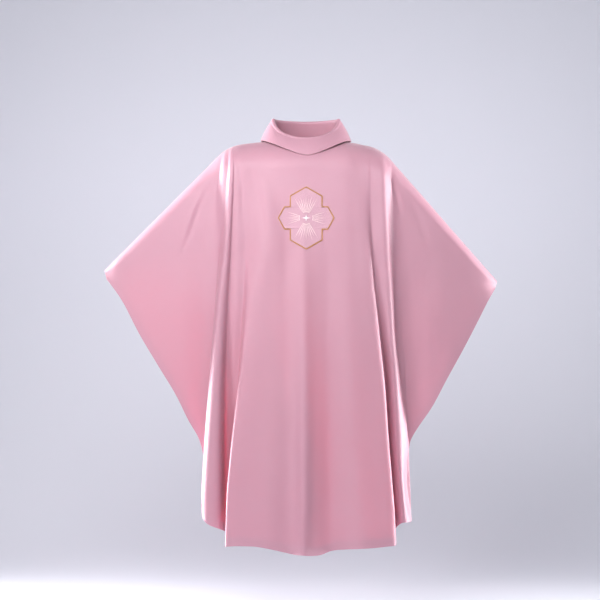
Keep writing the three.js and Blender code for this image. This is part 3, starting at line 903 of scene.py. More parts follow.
class Ground:
    """Looks up the outer faces of the cloth."""

    def __init__(self, pieces: Sequence[bpy.types.Object]) -> None:
        """Index the meshes of some pieces."""
        self.trees = []
        for piece in pieces:
            points = [vertex.co.copy() for vertex in piece.data.vertices]
            corners = [tuple(face.vertices) for face in piece.data.polygons]
            self.trees.append(BVHTree.FromPolygons(points, corners))

    def reach(self, start: Sequence[float], way: Sequence[float]) -> Optional[np.ndarray]:
        """Where a straight line first meets the cloth.

        Args:
            start: Where the line starts.
            way: The direction it takes.

        Returns:
            The place, or None if it meets nothing.
        """
        found = None
        for tree in self.trees:
            place, _, _, distance = tree.ray_cast(Vector(start) * MM, Vector(way))
            if place is not None and (found is None or distance < found[0]):
                found = (distance, np.array(place) / MM)
        return None if found is None else found[1]


@dataclass
class RollCollar:
    """The stand and fall of the collar, folded over along its top edge."""

    ground: Ground
    top_radius: float = 104
    foot_out: float = 19
    front_draw: float = 5
    side_height: float = 67
    front_dip: float = 66
    fold: float = 5
    bulge: float = 2.5
    lift_side: float = 4
    lift_front: float = 15
    lift_back: float = 9
    top_waver: float = 0.7
    foot_waver: float = 0.8
    flat: tuple = (0.68, 0.16)
    cut_area: float = 0.088
    stand_lift: float = 0.8
    seam_inset: float = 1.9
    columns: int = 184
    stand_rows: int = 14
    fold_rows: int = 13
    fall_rows: int = 18
    layers: tuple = (
        ("under_collar", -1.5, -0.6),
        ("collar_interlining", -0.3, 0.3),
        ("upper_collar", 0.6, 1.5),
    )
    seam_steps: int = 6
    binding_top: float = 6
    binding_foot: float = 3
    binding_clear: float = 0.8
    binding_trim: float = 0.8
    paths: np.ndarray = field(init=False, default=None)
    turns: np.ndarray = field(init=False, default=None)

    def waver(self, turn: float, seed: float) -> float:
        """A slight unevenness round the neck, from -1 to 1."""
        fine = 0.6 * math.sin(5 * turn + 2.3 * seed) + 0.4 * math.sin(9 * turn + seed)
        return (math.sin(3 * turn + seed) + fine) / 2

    def path(self, turn: float) -> np.ndarray:
        """The middle of the collar's cloth at a turn: up the stand, over the fold and down the fall.

        Args:
            turn: 0 at the front and a quarter turn at the wearer's left.

        Returns:
            Radii and heights.
        """
        forward = math.cos(turn)
        top = self.side_height - self.front_dip * max(forward, 0) + self.top_waver * self.waver(turn, 1.0)
        roll = np.array([self.top_radius - self.fold, top - self.fold])
        seam = np.array([NECK.half_width - self.seam_inset, float(NECK.height(turn)) + self.stand_lift])
        radius = NECK.half_width + self.foot_out - self.front_draw * max(forward, 0) ** 2
        radius += self.foot_waver * self.waver(turn, 2.0)
        lift_end = self.lift_front if forward > 0 else self.lift_back
        lift = self.lift_side + (lift_end - self.lift_side) * forward**2
        over = NECK.on_oval(turn, NECK.half_width + self.foot_out, 150.0)
        if abs(over[1]) < 0.6:
            over[1] = -0.6
        foot = np.array([radius, self.ground.reach(over, (0, 0, -1))[2] + lift])
        angles = np.radians(np.linspace(180, 0, self.fold_rows))
        arc = roll + self.fold * np.stack([np.cos(angles), np.sin(angles)], 1)
        share = np.linspace(0, 1, self.stand_rows)[:-1, None]
        stand = seam + (arc[0] - seam) * share
        share = np.linspace(0, 1, self.fall_rows + 1)[1:, None]
        away = (foot - arc[-1]) / np.linalg.norm(foot - arc[-1])
        swell = np.array([-away[1], away[0]]) * self.bulge
        fall = arc[-1] + (foot - arc[-1]) * share + swell * np.sin(np.pi * share) ** 0.8
        return np.concatenate([stand, arc, fall])

    def ring(self, runs: np.ndarray) -> Grid:
        """Points round the neck from a run of radius and height for each turn."""
        return NECK.on_oval(self.turns[:, None], runs[..., 0], runs[..., 1])

    def beside(self, offset: float) -> np.ndarray:
        """The paths moved towards the outside of the fold by an offset."""
        along = np.gradient(self.paths, axis=1)
        along /= np.linalg.norm(along, axis=2, keepdims=True)
        return self.paths + offset * np.stack([-along[..., 1], along[..., 0]], -1)

    def build(self) -> dict:
        """Make the collar's three layers and the binding over its seam.

        Returns:
            Each CAD node's name with its piece.
        """
        self.turns = np.linspace(0, 2 * math.pi, self.columns, endpoint=False)
        self.paths = np.array([self.path(turn) for turn in self.turns])
        self.paths = (np.roll(self.paths, 1, 0) + 2 * self.paths + np.roll(self.paths, -1, 0)) / 4
        made = {}
        for node, low, high in self.layers:
            outer, inner = self.ring(self.beside(high)), self.ring(self.beside(low))
            made[node] = make_sheet(f"{node}_cloth", outer, inner, ring=True)
        made["neckline_binding"] = self.binding()
        return made

    def seam_frame(self) -> tuple:
        """The collar's seam, the way up the stand from it and the way in towards the neck."""
        seam, up = self.paths[:, 0], self.paths[:, self.seam_steps]
        along = (up - seam) / np.linalg.norm(up - seam, axis=1, keepdims=True)
        return seam, along, np.stack([-along[:, 1], along[:, 0]], 1)

    def binding(self) -> bpy.types.Object:
        """The narrow tape that covers the collar seam on the inside of the neck."""
        seam, along, away = self.seam_frame()
        marks = np.linspace(-self.binding_foot, self.binding_top, 9)
        crown = 0.35 * (1 - ((marks - marks.mean()) / np.ptp(marks) * 2) ** 2)
        low = self.layers[-1][2] + self.binding_clear
        faces = []
        for lift in (low + self.binding_trim + crown, np.full_like(marks, low)):
            run = seam[:, None] + along[:, None] * marks[None, :, None] + away[:, None] * lift[None, :, None]
            faces.append(self.ring(run))
        return make_sheet("neckline_binding_tape", faces[0], faces[1], ring=True)


@dataclass
class HangingLoop:
    """The tape loop at the back of the neck, which swings on its two sewn ends."""

    seat: tuple = (0.0, 89.759, -0.664)
    half_width: float = 25
    tape: float = 8
    straight: float = 14
    thick: float = 1.2
    bend_rows: int = 36
    leg_rows: int = 10

    def build(self) -> bpy.types.Object:
        """Sweep the flat tape down one leg, round the bend and up the other.

        Returns:
            The loop's object.
        """
        middle = self.half_width - self.tape / 2
        legs = np.linspace(0, -self.straight, self.leg_rows)
        bend = np.linspace(math.pi, 2 * math.pi, self.bend_rows)[1:-1]
        centre = np.concatenate([
            np.stack([np.full_like(legs, -middle), legs], 1),
            np.stack([middle * np.cos(bend), -self.straight + middle * np.sin(bend)], 1),
            np.stack([np.full_like(legs, middle), legs[::-1]], 1),
        ])
        along = np.gradient(centre, axis=0)
        along /= np.linalg.norm(along, axis=1, keepdims=True)
        side = np.stack([along[:, 1], -along[:, 0]], 1)
        across = np.linspace(-self.tape / 2, self.tape / 2, 7)
        crown = self.thick / 2 * (1 - 0.45 * (2 * across / self.tape) ** 4)
        flat = centre[:, None] - side[:, None] * across[None, :, None]
        faces = []
        for sign in (1, -1):
            y = np.broadcast_to(sign * crown, flat.shape[:2])
            faces.append(np.stack([flat[..., 0], y, flat[..., 1]], -1) + np.array(self.seat))
        return make_sheet("hanging_loop_tape", faces[0], faces[1])


# ---------------------------------------------------------------- emblem


@dataclass(frozen=True)
class CrossOutline:
    """The emblem's cross, whose four arms end in points, with its outline moved out by `grow`."""

    grow: float = 0
    half_width: float = 80
    half_height: float = 90
    stem: float = 45
    arm: float = 31
    side_point: float = 17
    top_point: float = 26

    @property
    def corners(self) -> tuple:
        """The peak, shoulder, tip, cuff, half stem and half arm of the moved outline."""
        stem, arm = self.stem + self.grow, self.arm + self.grow
        peak = self.half_height + self.grow * math.hypot(self.stem, self.top_point) / self.stem
        tip = self.half_width + self.grow * math.hypot(self.arm, self.side_point) / self.arm
        shoulder = peak - stem * self.top_point / self.stem
        cuff = tip - arm * self.side_point / self.arm
        return peak, shoulder, tip, cuff, stem, arm

    def half_width_at(self, z: np.ndarray) -> np.ndarray:
        """Half the width of the cross at heights from its centre."""
        peak, shoulder, tip, cuff, stem, arm = self.corners
        height = np.abs(z)
        upper = np.where(height > shoulder, (peak - height) * stem / (peak - shoulder), stem)
        return np.where(height < arm, tip - height * (tip - cuff) / arm, upper)

    def rows(self, step: float) -> np.ndarray:
        """Heights from the peak down, close together, with a pair at each inner corner."""
        peak, shoulder, _, _, _, arm = self.corners
        marks = [peak - 0.25, shoulder, arm + 0.02, arm - 0.02, 0.0]
        half = np.concatenate([
            np.linspace(a, b, max(int((a - b) / step), 1) + 1)[:-1] for a, b in zip(marks, marks[1:])
        ])
        return np.concatenate([half, [0.0], -half[::-1]])

    def loop(self, step: float) -> np.ndarray:
        """Points (x, z) round the outline, no further apart than a step."""
        peak, shoulder, tip, cuff, stem, arm = self.corners
        quarter = [(0, peak), (stem, shoulder), (stem, arm), (cuff, arm)]
        right = [*quarter, (tip, 0), *[(x, -z) for x, z in reversed(quarter)]]
        corners = np.array([*right, *[(-x, z) for x, z in reversed(right[1:-1])]], float)
        runs = []
        for a, b in zip(corners, np.roll(corners, -1, 0)):
            count = max(int(np.linalg.norm(b - a) / step), 1)
            runs.append(a + (b - a) * np.linspace(0, 1, count, endpoint=False)[:, None])
        return np.concatenate(runs)


@dataclass(frozen=True)
class Fan:
    """Rays of satin stitch that spread from the middle of the cross."""

    place: str
    heading: float
    count: int
    spread: float
    root: float
    tip: float
    width: float
    band: float = 3
    short: float = 0.86

    def rays(self) -> list:
        """The direction in radians and the reach of each ray."""
        turns = np.radians(self.heading + np.linspace(-self.spread, self.spread, self.count))
        return [(turn, self.tip * (self.short if i % 2 else 1)) for i, turn in enumerate(turns)]


@dataclass
class Emblem:
    """The embroidered cross on the chest."""

    chest: Ground
    cloth: float = 0.8
    drop: float = 242
    thread: float = 0.6
    gap: float = 0.5
    backing_gap: float = 0.5
    backing: float = 0.6
    backing_grow: float = 3.4
    cord_radius: float = 0.85
    cord_lines: tuple = (1.3, 2.9)
    fans: tuple = (
        Fan("upper", 90, 9, 30, 20, 71, 2.4),
        Fan("lower", -90, 9, 30, 20, 71, 2.4),
        Fan("left", 0, 5, 18, 22, 60, 2.2),
        Fan("right", 180, 5, 18, 22, 60, 2.2),
    )
    star: tuple = (14.0, 10.5, 2.26)

    def laid(self, x: np.ndarray, z: np.ndarray, lift: np.ndarray) -> Grid:
        """Places on the chest.

        Args:
            x: Across from the emblem's centre.
            z: Up from it.
            lift: Out of the cloth.

        Returns:
            Points in a last axis of three.
        """
        x, z, lift = np.broadcast_arrays(x, z, lift)
        depth = np.empty(x.shape)
        for index in np.ndindex(x.shape):
            depth[index] = self.chest.reach((x[index], -420.0, z[index] - self.drop), (0, 1, 0))[1]
        return np.stack([x, depth - lift, z - self.drop], -1)

    def sheet(self, name: str, outline: CrossOutline, low: float, high: float) -> bpy.types.Object:
        """A layer in the shape of the cross.

        Args:
            name: The piece's name.
            outline: Its shape.
            low: The lift of its underside.
            high: The lift of its face.

        Returns:
            The new object.
        """
        z = outline.rows(4.0)
        share = np.linspace(-1, 1, 45)
        x = outline.half_width_at(z)[None, :] * share[:, None]
        face = self.laid(x, z[None, :], high)
        under = face + np.array([0, high - low, 0])
        return make_sheet(name, face, under)

    def ray_sheets(self, fan: Fan, low: float) -> list:
        """The faces of each ray of a fan, and of the band at its root.

        Args:
            fan: The fan to stitch.
            low: The lift of its underside.

        Returns:
            Pairs of grids.
        """
        sheets = []
        side = np.linspace(-1, 1, 7)
        dome = np.sqrt(np.clip(1 - side**2, 0, 1)) * 0.8 + 0.2
        for turn, reach in fan.rays():
            share = np.linspace(0, 1, 22)
            half = fan.width / 2 * np.clip(np.sin(np.pi * (0.12 + 0.88 * share) ** 0.75), 0.06, 1)
            radius = fan.root + share * (reach - fan.root)
            x = radius[None, :] * math.cos(turn) + half[None, :] * side[:, None] * math.sin(turn)
            z = radius[None, :] * math.sin(turn) - half[None, :] * side[:, None] * math.cos(turn)
            sheets.append(self.domed(x, z, low, dome[:, None]))
        first, last = fan.rays()[0][0], fan.rays()[-1][0]
        turns = np.linspace(first - 0.05, last + 0.05, 33)
        radius = fan.root - fan.band / 2 + fan.band / 2 * side
        x, z = radius[:, None] * np.cos(turns), radius[:, None] * np.sin(turns)
        sheets.append(self.domed(x, z, low, dome[:, None]))
        return sheets

    def domed(self, x: np.ndarray, z: np.ndarray, low: float, dome: np.ndarray) -> tuple:
        """The faces of a run of satin stitch that swells towards its middle."""
        base = self.laid(x, z, low)
        face = base - np.array([0, self.thread, 0]) * dome[..., None]
        if normals(face)[..., 1].mean() > 0:
            face, base = face[::-1], base[::-1]
        return face, base

    def star_piece(self, low: float) -> bpy.types.Object:
        """The four-pointed star in the middle."""
        wide, high, waist = self.star
        z = np.concatenate([np.linspace(high - 0.1, waist, 8)[:-1], np.linspace(waist, 0, 12)])
        z = np.concatenate([z, -z[::-1][1:]])
        height = np.abs(z)
        tall_arm = waist * (high - height) / (high - waist)
        wide_arm = waist + (wide - waist) * (1 - height / waist)
        half = np.where(height > waist, tall_arm, wide_arm)
        side = np.linspace(-1, 1, 25)
        dome = 0.3 + 0.7 * (1 - side**2)
        x = half[None, :] * side[:, None]
        face, base = self.domed(x, np.broadcast_to(z, x.shape), low, dome[:, None])
        return make_sheet("emblem_star_thread", face, base)

    def cord_path(self) -> list:
        """The two lines round the cross that the border's cords follow."""
        lift = self.gap + self.cord_radius
        lines = []
        for grow in self.cord_lines:
            loop = CrossOutline(grow=grow).loop(2.5)
            lines.append(self.laid(loop[:, 0], loop[:, 1], lift))
        return lines

    def build(self) -> dict:
        """Make every layer of the emblem.

        Returns:
            Each CAD node's name with its piece.
        """
        ground_top = self.gap + self.thread
        low = ground_top + self.gap
        inside = -self.cloth - self.backing_gap
        backing = CrossOutline(grow=self.backing_grow)
        made = {
            "emblem_backing": self.sheet("emblem_backing_cloth", backing, inside - self.backing, inside),
            "emblem_ground": self.sheet("emblem_ground_thread", CrossOutline(), self.gap, ground_top),
            "emblem_border": run_nodes("emblem_border_cord", self.cord_path(), cord_tree(), closed=True,
                                       inputs={"Radius": self.cord_radius, "Twist": 3.2, "Segment": 0.55}),
            "emblem_star": self.star_piece(low),
        }
        for fan in self.fans:
            node = f"emblem_{fan.place}_rays"
            made[node] = join_sheets(f"{node}_thread", self.ray_sheets(fan, low))
        return made


def join_sheets(name: str, sheets: list) -> bpy.types.Object:
    """One piece from several closed sheets.

    Args:
        name: The piece's name.
        sheets: Pairs of an outer and an inner grid.

    Returns:
        The new object.
    """
    points, faces, flats, count = [], [], [], 0
    for outer, inner in sheets:
        columns, rows = outer.shape[:2]
        faces.append(sheet_faces(columns, rows, False) + count)
        points += [outer.reshape(-1, 3), inner.reshape(-1, 3)]
        flat = np.stack([lengths_along(outer, 0), lengths_along(outer, 1)], 2).reshape(-1, 2)
        flats += [flat, flat]
        count += 2 * columns * rows
    return make_mesh(name, np.concatenate(points), np.concatenate(faces), np.concatenate(flats))


# ---------------------------------------------------------------- stitches and cords


class Nodes:
    """A node tree under construction."""

    tree: bpy.types.NodeTree

    def add(self, kind: str, links: dict, **settings: object) -> bpy.types.Node:
        """A node with its inputs linked or set.

        Args:
            kind: The node's type.
            links: Each input's name or number with a socket or a value.
            **settings: The node's own properties.

        Returns:
            The node.
        """
        node = self.tree.nodes.new(kind)
        for key, value in settings.items():
            setattr(node, key, value)
        for key, value in links.items():
            if isinstance(value, bpy.types.NodeSocket):
                self.tree.links.new(value, node.inputs[key])
            else:
                node.inputs[key].default_value = value
        return node

    def math(self, operation: str, a: object, b: object) -> bpy.types.NodeSocket:
        """The result of a sum on two sockets or numbers."""
        return self.add("ShaderNodeMath", {0: a, 1: b}, operation=operation).outputs[0]


class Tree(Nodes):
    """A Geometry Nodes tree."""

    def __init__(self, name: str, inputs: dict) -> None:
        """Start a tree that takes a geometry and named sizes in millimetres."""
        self.tree = bpy.data.node_groups.new(name, "GeometryNodeTree")
        sockets = self.tree.interface
        sockets.new_socket("Geometry", in_out="INPUT", socket_type="NodeSocketGeometry")
        for label, value in inputs.items():
            sockets.new_socket(label, in_out="INPUT", socket_type="NodeSocketFloat").default_value = value
        sockets.new_socket("Finish", in_out="INPUT", socket_type="NodeSocketMaterial")
        sockets.new_socket("Geometry", in_out="OUTPUT", socket_type="NodeSocketGeometry")
        self.given = self.tree.nodes.new("NodeGroupInput")

    def size(self, label: str) -> bpy.types.NodeSocket:
        """A named size of the tree, brought to metres."""
        return self.math("MULTIPLY", self.given.outputs[label], MM)

    def line(self, step: str) -> bpy.types.NodeSocket:
        """The geometry's lines as curves, with points a named size apart."""
        curve = self.add("GeometryNodeMeshToCurve", {"Mesh": self.given.outputs["Geometry"]})
        spacing = {"Curve": curve.outputs[0], "Length": self.size(step)}
        return self.add("GeometryNodeResampleCurve", spacing, mode="LENGTH").outputs[0]

    def finish(self, geometry: bpy.types.NodeSocket) -> bpy.types.NodeTree:
        """End the tree with real, smooth, dressed geometry."""
        real = self.add("GeometryNodeRealizeInstances", {"Geometry": geometry})
        smooth = self.add("GeometryNodeSetShadeSmooth", {"Geometry": real.outputs[0]})
        finish = self.given.outputs["Finish"]
        dressed = self.add("GeometryNodeSetMaterial", {"Geometry": smooth.outputs[0], "Material": finish})
        self.add("NodeGroupOutput", {"Geometry": dressed.outputs[0]})
        return self.tree


PLY_HOLLOW = 0.62  # the depth of the grooves between a cord's three plies


def cord_tree() -> bpy.types.NodeTree:
    """A three-ply cord twisted along each line of the geometry."""
    made = bpy.data.node_groups.get("twisted_cord")
    if made:
        return made
    tree = Tree("twisted_cord", {"Radius": 0.8, "Twist": 3.0, "Segment": 0.5})
    line = tree.line("Segment")
    place = tree.add("GeometryNodeSplineParameter", {})
    turns = tree.math("DIVIDE", place.outputs["Length"], tree.size("Twist"))
    tilt = tree.math("MULTIPLY", turns, 2 * math.pi)
    turned = tree.add("GeometryNodeSetCurveTilt", {"Curve": line, "Tilt": tilt})
    radius = tree.size("Radius")
    hollow = tree.math("MULTIPLY", radius, PLY_HOLLOW)
    ply = tree.add("GeometryNodeCurveStar", {"Points": 3, "Inner Radius": hollow, "Outer Radius": radius})
    swept = tree.add("GeometryNodeCurveToMesh", {
        "Curve": turned.outputs[0], "Profile Curve": ply.outputs[0], "Fill Caps": True,
    })
    return tree.finish(swept.outputs[0])


def stitch_tree() -> bpy.types.NodeTree:
    """A row of machine stitches along each line of the geometry."""
    made = bpy.data.node_groups.get("stitch_row")
    if made:
        return made
    tree = Tree("stitch_row", {"Pitch": 3.2, "Stitch": 2.4, "Thread": 0.45})
    line = tree.line("Pitch")
    ball = tree.add("GeometryNodeMeshUVSphere", {"Segments": 6, "Rings": 4, "Radius": 0.5})
    thread = tree.size("Thread")
    size = tree.add("ShaderNodeCombineXYZ", {0: tree.size("Stitch"), 1: thread, 2: thread})
    stitch = tree.add("GeometryNodeTransform", {"Geometry": ball.outputs[0], "Scale": size.outputs[0]})
    tangent = tree.add("GeometryNodeInputTangent", {})
    turned = tree.add("FunctionNodeAlignRotationToVector", {"Vector": tangent.outputs[0]}, axis="X")
    row = tree.add("GeometryNodeInstanceOnPoints", {
        "Points": line, "Instance": stitch.outputs[0], "Rotation": turned.outputs[0],
    })
    return tree.finish(row.outputs[0])


def run_nodes(
    name: str, lines: Sequence[np.ndarray], tree: bpy.types.NodeTree, inputs: dict, closed: bool = False
) -> bpy.types.Object:
    """Run a tree along some lines and keep the result as a plain mesh.

    Args:
        name: The piece's name.
        lines: Runs of points in millimetres.
        tree: The tree to run.
        inputs: Its named sizes, in millimetres.
        closed: True if each line meets its own start.

    Returns:
        The new object, at the origin and with no modifier.
    """
    points, edges = [], []
    for line in lines:
        first, count = sum(len(run) for run in points), len(line)
        points.append(np.asarray(line))
        edges += [(first + i, first + i + 1) for i in range(count - 1)]
        if closed:
            edges.append((first + count - 1, first))
    guide = bpy.data.meshes.new(f"{name}_lines")
    guide.from_pydata((np.concatenate(points) * MM).tolist(), edges, [])
    carrier = bpy.data.objects.new(f"{name}_lines", guide)
    bpy.context.scene.collection.objects.link(carrier)
    modifier = carrier.modifiers.new("nodes", "NODES")
    modifier.node_group = tree
    for item in tree.interface.items_tree:
        if item.in_out == "INPUT" and item.name in inputs:
            modifier[item.identifier] = float(inputs[item.name])
    bpy.context.view_layer.update()
    graph = bpy.context.evaluated_depsgraph_get()
    mesh = bpy.data.meshes.new_from_object(carrier.evaluated_get(graph), depsgraph=graph)
    mesh.name = name
    mesh.materials.clear()
    carrier.modifiers.clear()
    bpy.data.objects.remove(carrier)
    piece = bpy.data.objects.new(name, mesh)
    bpy.context.scene.collection.objects.link(piece)
    return piece


@dataclass
class Stitching:
    """Rows of stitches that show on the outside of the hems and hold the binding."""

    panels: dict
    collar: RollCollar
    hem_lift: float = 0.12
    hem_reach: float = 560
    hem_sizes: tuple = (("Pitch", 3.2), ("Stitch", 2.3), ("Thread", 0.42))
    seam_lift: float = 0.25
    seam_marks: tuple = (-1.8, 4.8)
    seam_sizes: tuple = (("Pitch", 2.8), ("Stitch", 2.0), ("Thread", 0.42))

    def hem_row(self, panel: Panel) -> np.ndarray:
        """The line of the hem's stitches on the outer face of a panel."""
        row = panel.face(self.hem_lift)[:, -len(panel.hem_rows)]
        return row[np.abs(row[:, 0]) < self.hem_reach]

    def build(self) -> dict:
        """Make the rows.

        Returns:
            Each stitched piece's CAD node with its row of stitches.
        """
        made, collar = {}, self.collar
        for panel in self.panels.values():
            line, name = self.hem_row(panel), f"{panel.name}_hem_stitches"
            made[f"{panel.name}_panel"] = run_nodes(name, [line], stitch_tree(), dict(self.hem_sizes))
        seam, along, away = collar.seam_frame()
        lift = collar.layers[-1][2] + collar.binding_clear + collar.binding_trim + self.seam_lift
        rows = [seam + along * mark + away * lift for mark in self.seam_marks]
        lines = [NECK.on_oval(collar.turns, *row.T) for row in rows]
        made["neckline_binding"] = run_nodes(
            "neckline_binding_stitches", lines, stitch_tree(), dict(self.seam_sizes), closed=True
        )
        return made


# ---------------------------------------------------------------- finishes


class Graph(Nodes):
    """A material's nodes."""

    def __init__(self, name: str) -> None:
        """Start an empty material."""
        self.material = bpy.data.materials.new(name)
        self.material.use_nodes = True
        self.tree = self.material.node_tree
        self.tree.nodes.clear()

    def mix(self, factor: object, a: object, b: object) -> bpy.types.NodeSocket:
        """A colour between two others."""
        return self.add("ShaderNodeMix", {0: factor, 6: a, 7: b}, data_type="RGBA").outputs[2]

    def wave(self, place: object, per_metre: float) -> bpy.types.NodeSocket:
        """A sine wave along a place in metres."""
        turns = self.math("MULTIPLY", place, per_metre)
        return self.math("SINE", self.math("MULTIPLY", turns, 2 * math.pi), 0.0)

    def bump(self, strength: float, distance: float, height: bpy.types.NodeSocket, **under: object) -> object:
        """The normal of a fine relief, over another normal if one is given."""
        links = {"Strength": strength, "Distance": distance, "Height": height, **under}
        return self.add("ShaderNodeBump", links).outputs[0]

    def noise(self, vector: bpy.types.NodeSocket, scale: float, detail: float = 2) -> bpy.types.NodeSocket:
        """Soft noise from 0 to 1."""
        return self.add("ShaderNodeTexNoise", {"Vector": vector, "Scale": scale, "Detail": detail}).outputs[0]

    def done(self, shader: bpy.types.NodeSocket) -> bpy.types.Material:
        """End with the surface's shader."""
        self.add("ShaderNodeOutputMaterial", {"Surface": shader})
        return self.material


def srgb(red: float, green: float, blue: float) -> tuple:
    """A linear colour from its usual 0 to 255 values."""
    def line(value: float) -> float:
        """One channel."""
        value /= 255
        return value / 12.92 if value <= 0.04045 else ((value + 0.055) / 1.055) ** 2.4
    return (line(red), line(green), line(blue), 1.0)


@dataclass(frozen=True)
class ClothFinish:
    """A fine, smooth twill that glows a little where light comes through it."""

    name: str
    colour: tuple
    deep: tuple
    glow: tuple
    through: float = 0.26
    roughness: float = 0.46
    sheen: float = 0.35
    thread: float = 0.55
    weave: float = 0.25

    def material(self) -> bpy.types.Material:
        """Build the material."""
        graph = Graph(self.name)
        place = graph.add("ShaderNodeTexCoord", {})
        cloth, object_place = place.outputs["UV"], place.outputs["Object"]
        per_metre = 1 / (self.thread * MM)
        split = graph.add("ShaderNodeSeparateXYZ", {0: cloth})
        across, down = split.outputs[0], split.outputs[1]
        twill = graph.wave(graph.math("ADD", across, graph.math("MULTIPLY", down, 0.5)), per_metre)
        weft = graph.math("MULTIPLY", graph.wave(down, per_metre), 0.5)
        stretched = graph.add("ShaderNodeMapping", {"Vector": cloth, "Scale": (900, 60, 1)})
        slub = graph.noise(stretched.outputs[0], 1.0)
        height = graph.math("ADD", graph.math("ADD", twill, weft), slub)
        fibre = graph.bump(self.weave, 0.00012, height)
        soft = graph.noise(object_place, 38, 3)
        bump = graph.bump(0.12, 0.004, soft, Normal=fibre)
        broad = graph.noise(object_place, 5, 2)
        tint = graph.mix(graph.math("MULTIPLY", broad, 0.5), self.colour, self.deep)
        tint = graph.mix(graph.math("MULTIPLY", slub, 0.12), tint, self.deep)
        rough = graph.math("ADD", graph.math("MULTIPLY", soft, 0.08), self.roughness - 0.04)
        solid = graph.add("ShaderNodeBsdfPrincipled", {
            "Base Color": tint, "Roughness": rough, "Sheen Weight": self.sheen, "Sheen Roughness": 0.35,
            "Sheen Tint": (1.0, 0.93, 0.96, 1.0), "Specular IOR Level": 0.55, "Normal": bump,
        })
        light = graph.add("ShaderNodeBsdfTranslucent", {"Color": self.glow, "Normal": bump})
        both = graph.add("ShaderNodeMixShader", {0: self.through, 1: solid.outputs[0], 2: light.outputs[0]})
        return graph.done(both.outputs[0])


@dataclass(frozen=True)
class ThreadFinish:
    """Lustrous thread laid in close stitches across the shape, with painted shade in the grooves between
    stitches.
    """

    name: str
    colour: tuple
    deep: tuple
    roughness: float = 0.38
    metallic: float = 0.0
    pitch: float = 0.45
    lean: float = 0.35

    def material(self) -> bpy.types.Material:
        """Build the material."""
        graph = Graph(self.name)
        place = graph.add("ShaderNodeTexCoord", {})
        split = graph.add("ShaderNodeSeparateXYZ", {0: place.outputs["Object"]})
        lean = graph.math("MULTIPLY", split.outputs[0], self.lean)
        along = graph.math("ADD", split.outputs[2], lean)
        wave = graph.wave(along, 1 / (self.pitch * MM))
        fuzz = graph.noise(place.outputs["Object"], 900, 2)
        bump = graph.bump(0.5, 0.00015, graph.math("ADD", wave, fuzz))
        # Painted shade: the colour darkens towards `deep` in the grooves between stitches, where the wave is
        # low; the fuzz adds a random tone on top.
        groove_shade = graph.math("MULTIPLY", graph.math("SUBTRACT", 1.0, wave), 0.16)
        tint = graph.mix(graph.math("ADD", groove_shade, graph.math("MULTIPLY", fuzz, 0.12)), self.colour, self.deep)
        solid = graph.add("ShaderNodeBsdfPrincipled", {
            "Base Color": tint, "Roughness": self.roughness, "Metallic": self.metallic,
            "Sheen Weight": 0.15, "Specular IOR Level": 0.5, "Normal": bump,
        })
        return graph.done(solid.outputs[0])


PINK = srgb(209, 163, 180)
PINK_DEEP = srgb(199, 149, 168)
PINK_GLOW = srgb(238, 120, 142)
FINISHES = {
    Slot.SHELL: ClothFinish("shell_twill", PINK, PINK_DEEP, PINK_GLOW),
    Slot.TRIM: ClothFinish(
        "trim_cloth", PINK_DEEP, srgb(202, 120, 150), PINK_GLOW, roughness=0.66, sheen=0.2
    ),
    Slot.INTERLINING: ClothFinish(
        "interlining_canvas", srgb(238, 232, 226), srgb(224, 216, 208), srgb(240, 230, 224),
        roughness=0.85, sheen=0.05, thread=0.9, weave=0.5,
    ),
    # For each thread, the second colour is the painted shade in the grooves between its stitches.
    Slot.GROUND: ThreadFinish(
        "emblem_satin", srgb(202, 157, 172), srgb(188, 142, 158), roughness=0.62, pitch=0.6
    ),
    Slot.GOLD: ThreadFinish(
        "gold_cord", srgb(226, 168, 96), srgb(176, 112, 50),
        roughness=0.34, metallic=0.45, pitch=0.8, lean=0.9,
    ),
    Slot.WHITE: ThreadFinish(
        "white_silk", srgb(250, 242, 243), srgb(236, 216, 222), roughness=0.36, pitch=0.5
    ),
}
# The second colour of these threads is also painted shade in the grooves between stitches.
RAYS = ThreadFinish("pale_silk", srgb(240, 210, 214), srgb(226, 190, 197), roughness=0.5, pitch=0.5)
STITCH = ThreadFinish("pink_thread", srgb(228, 158, 182), srgb(206, 130, 158), roughness=0.5, pitch=0.3)


# ---------------------------------------------------------------- studio


@dataclass(frozen=True)
class Softbox:
    """A large soft lamp."""

    name: str
    place: tuple
    aim: tuple
    size: tuple
    power: float
    spread: float = 180
    colour: tuple = (1.0, 1.0, 1.0)


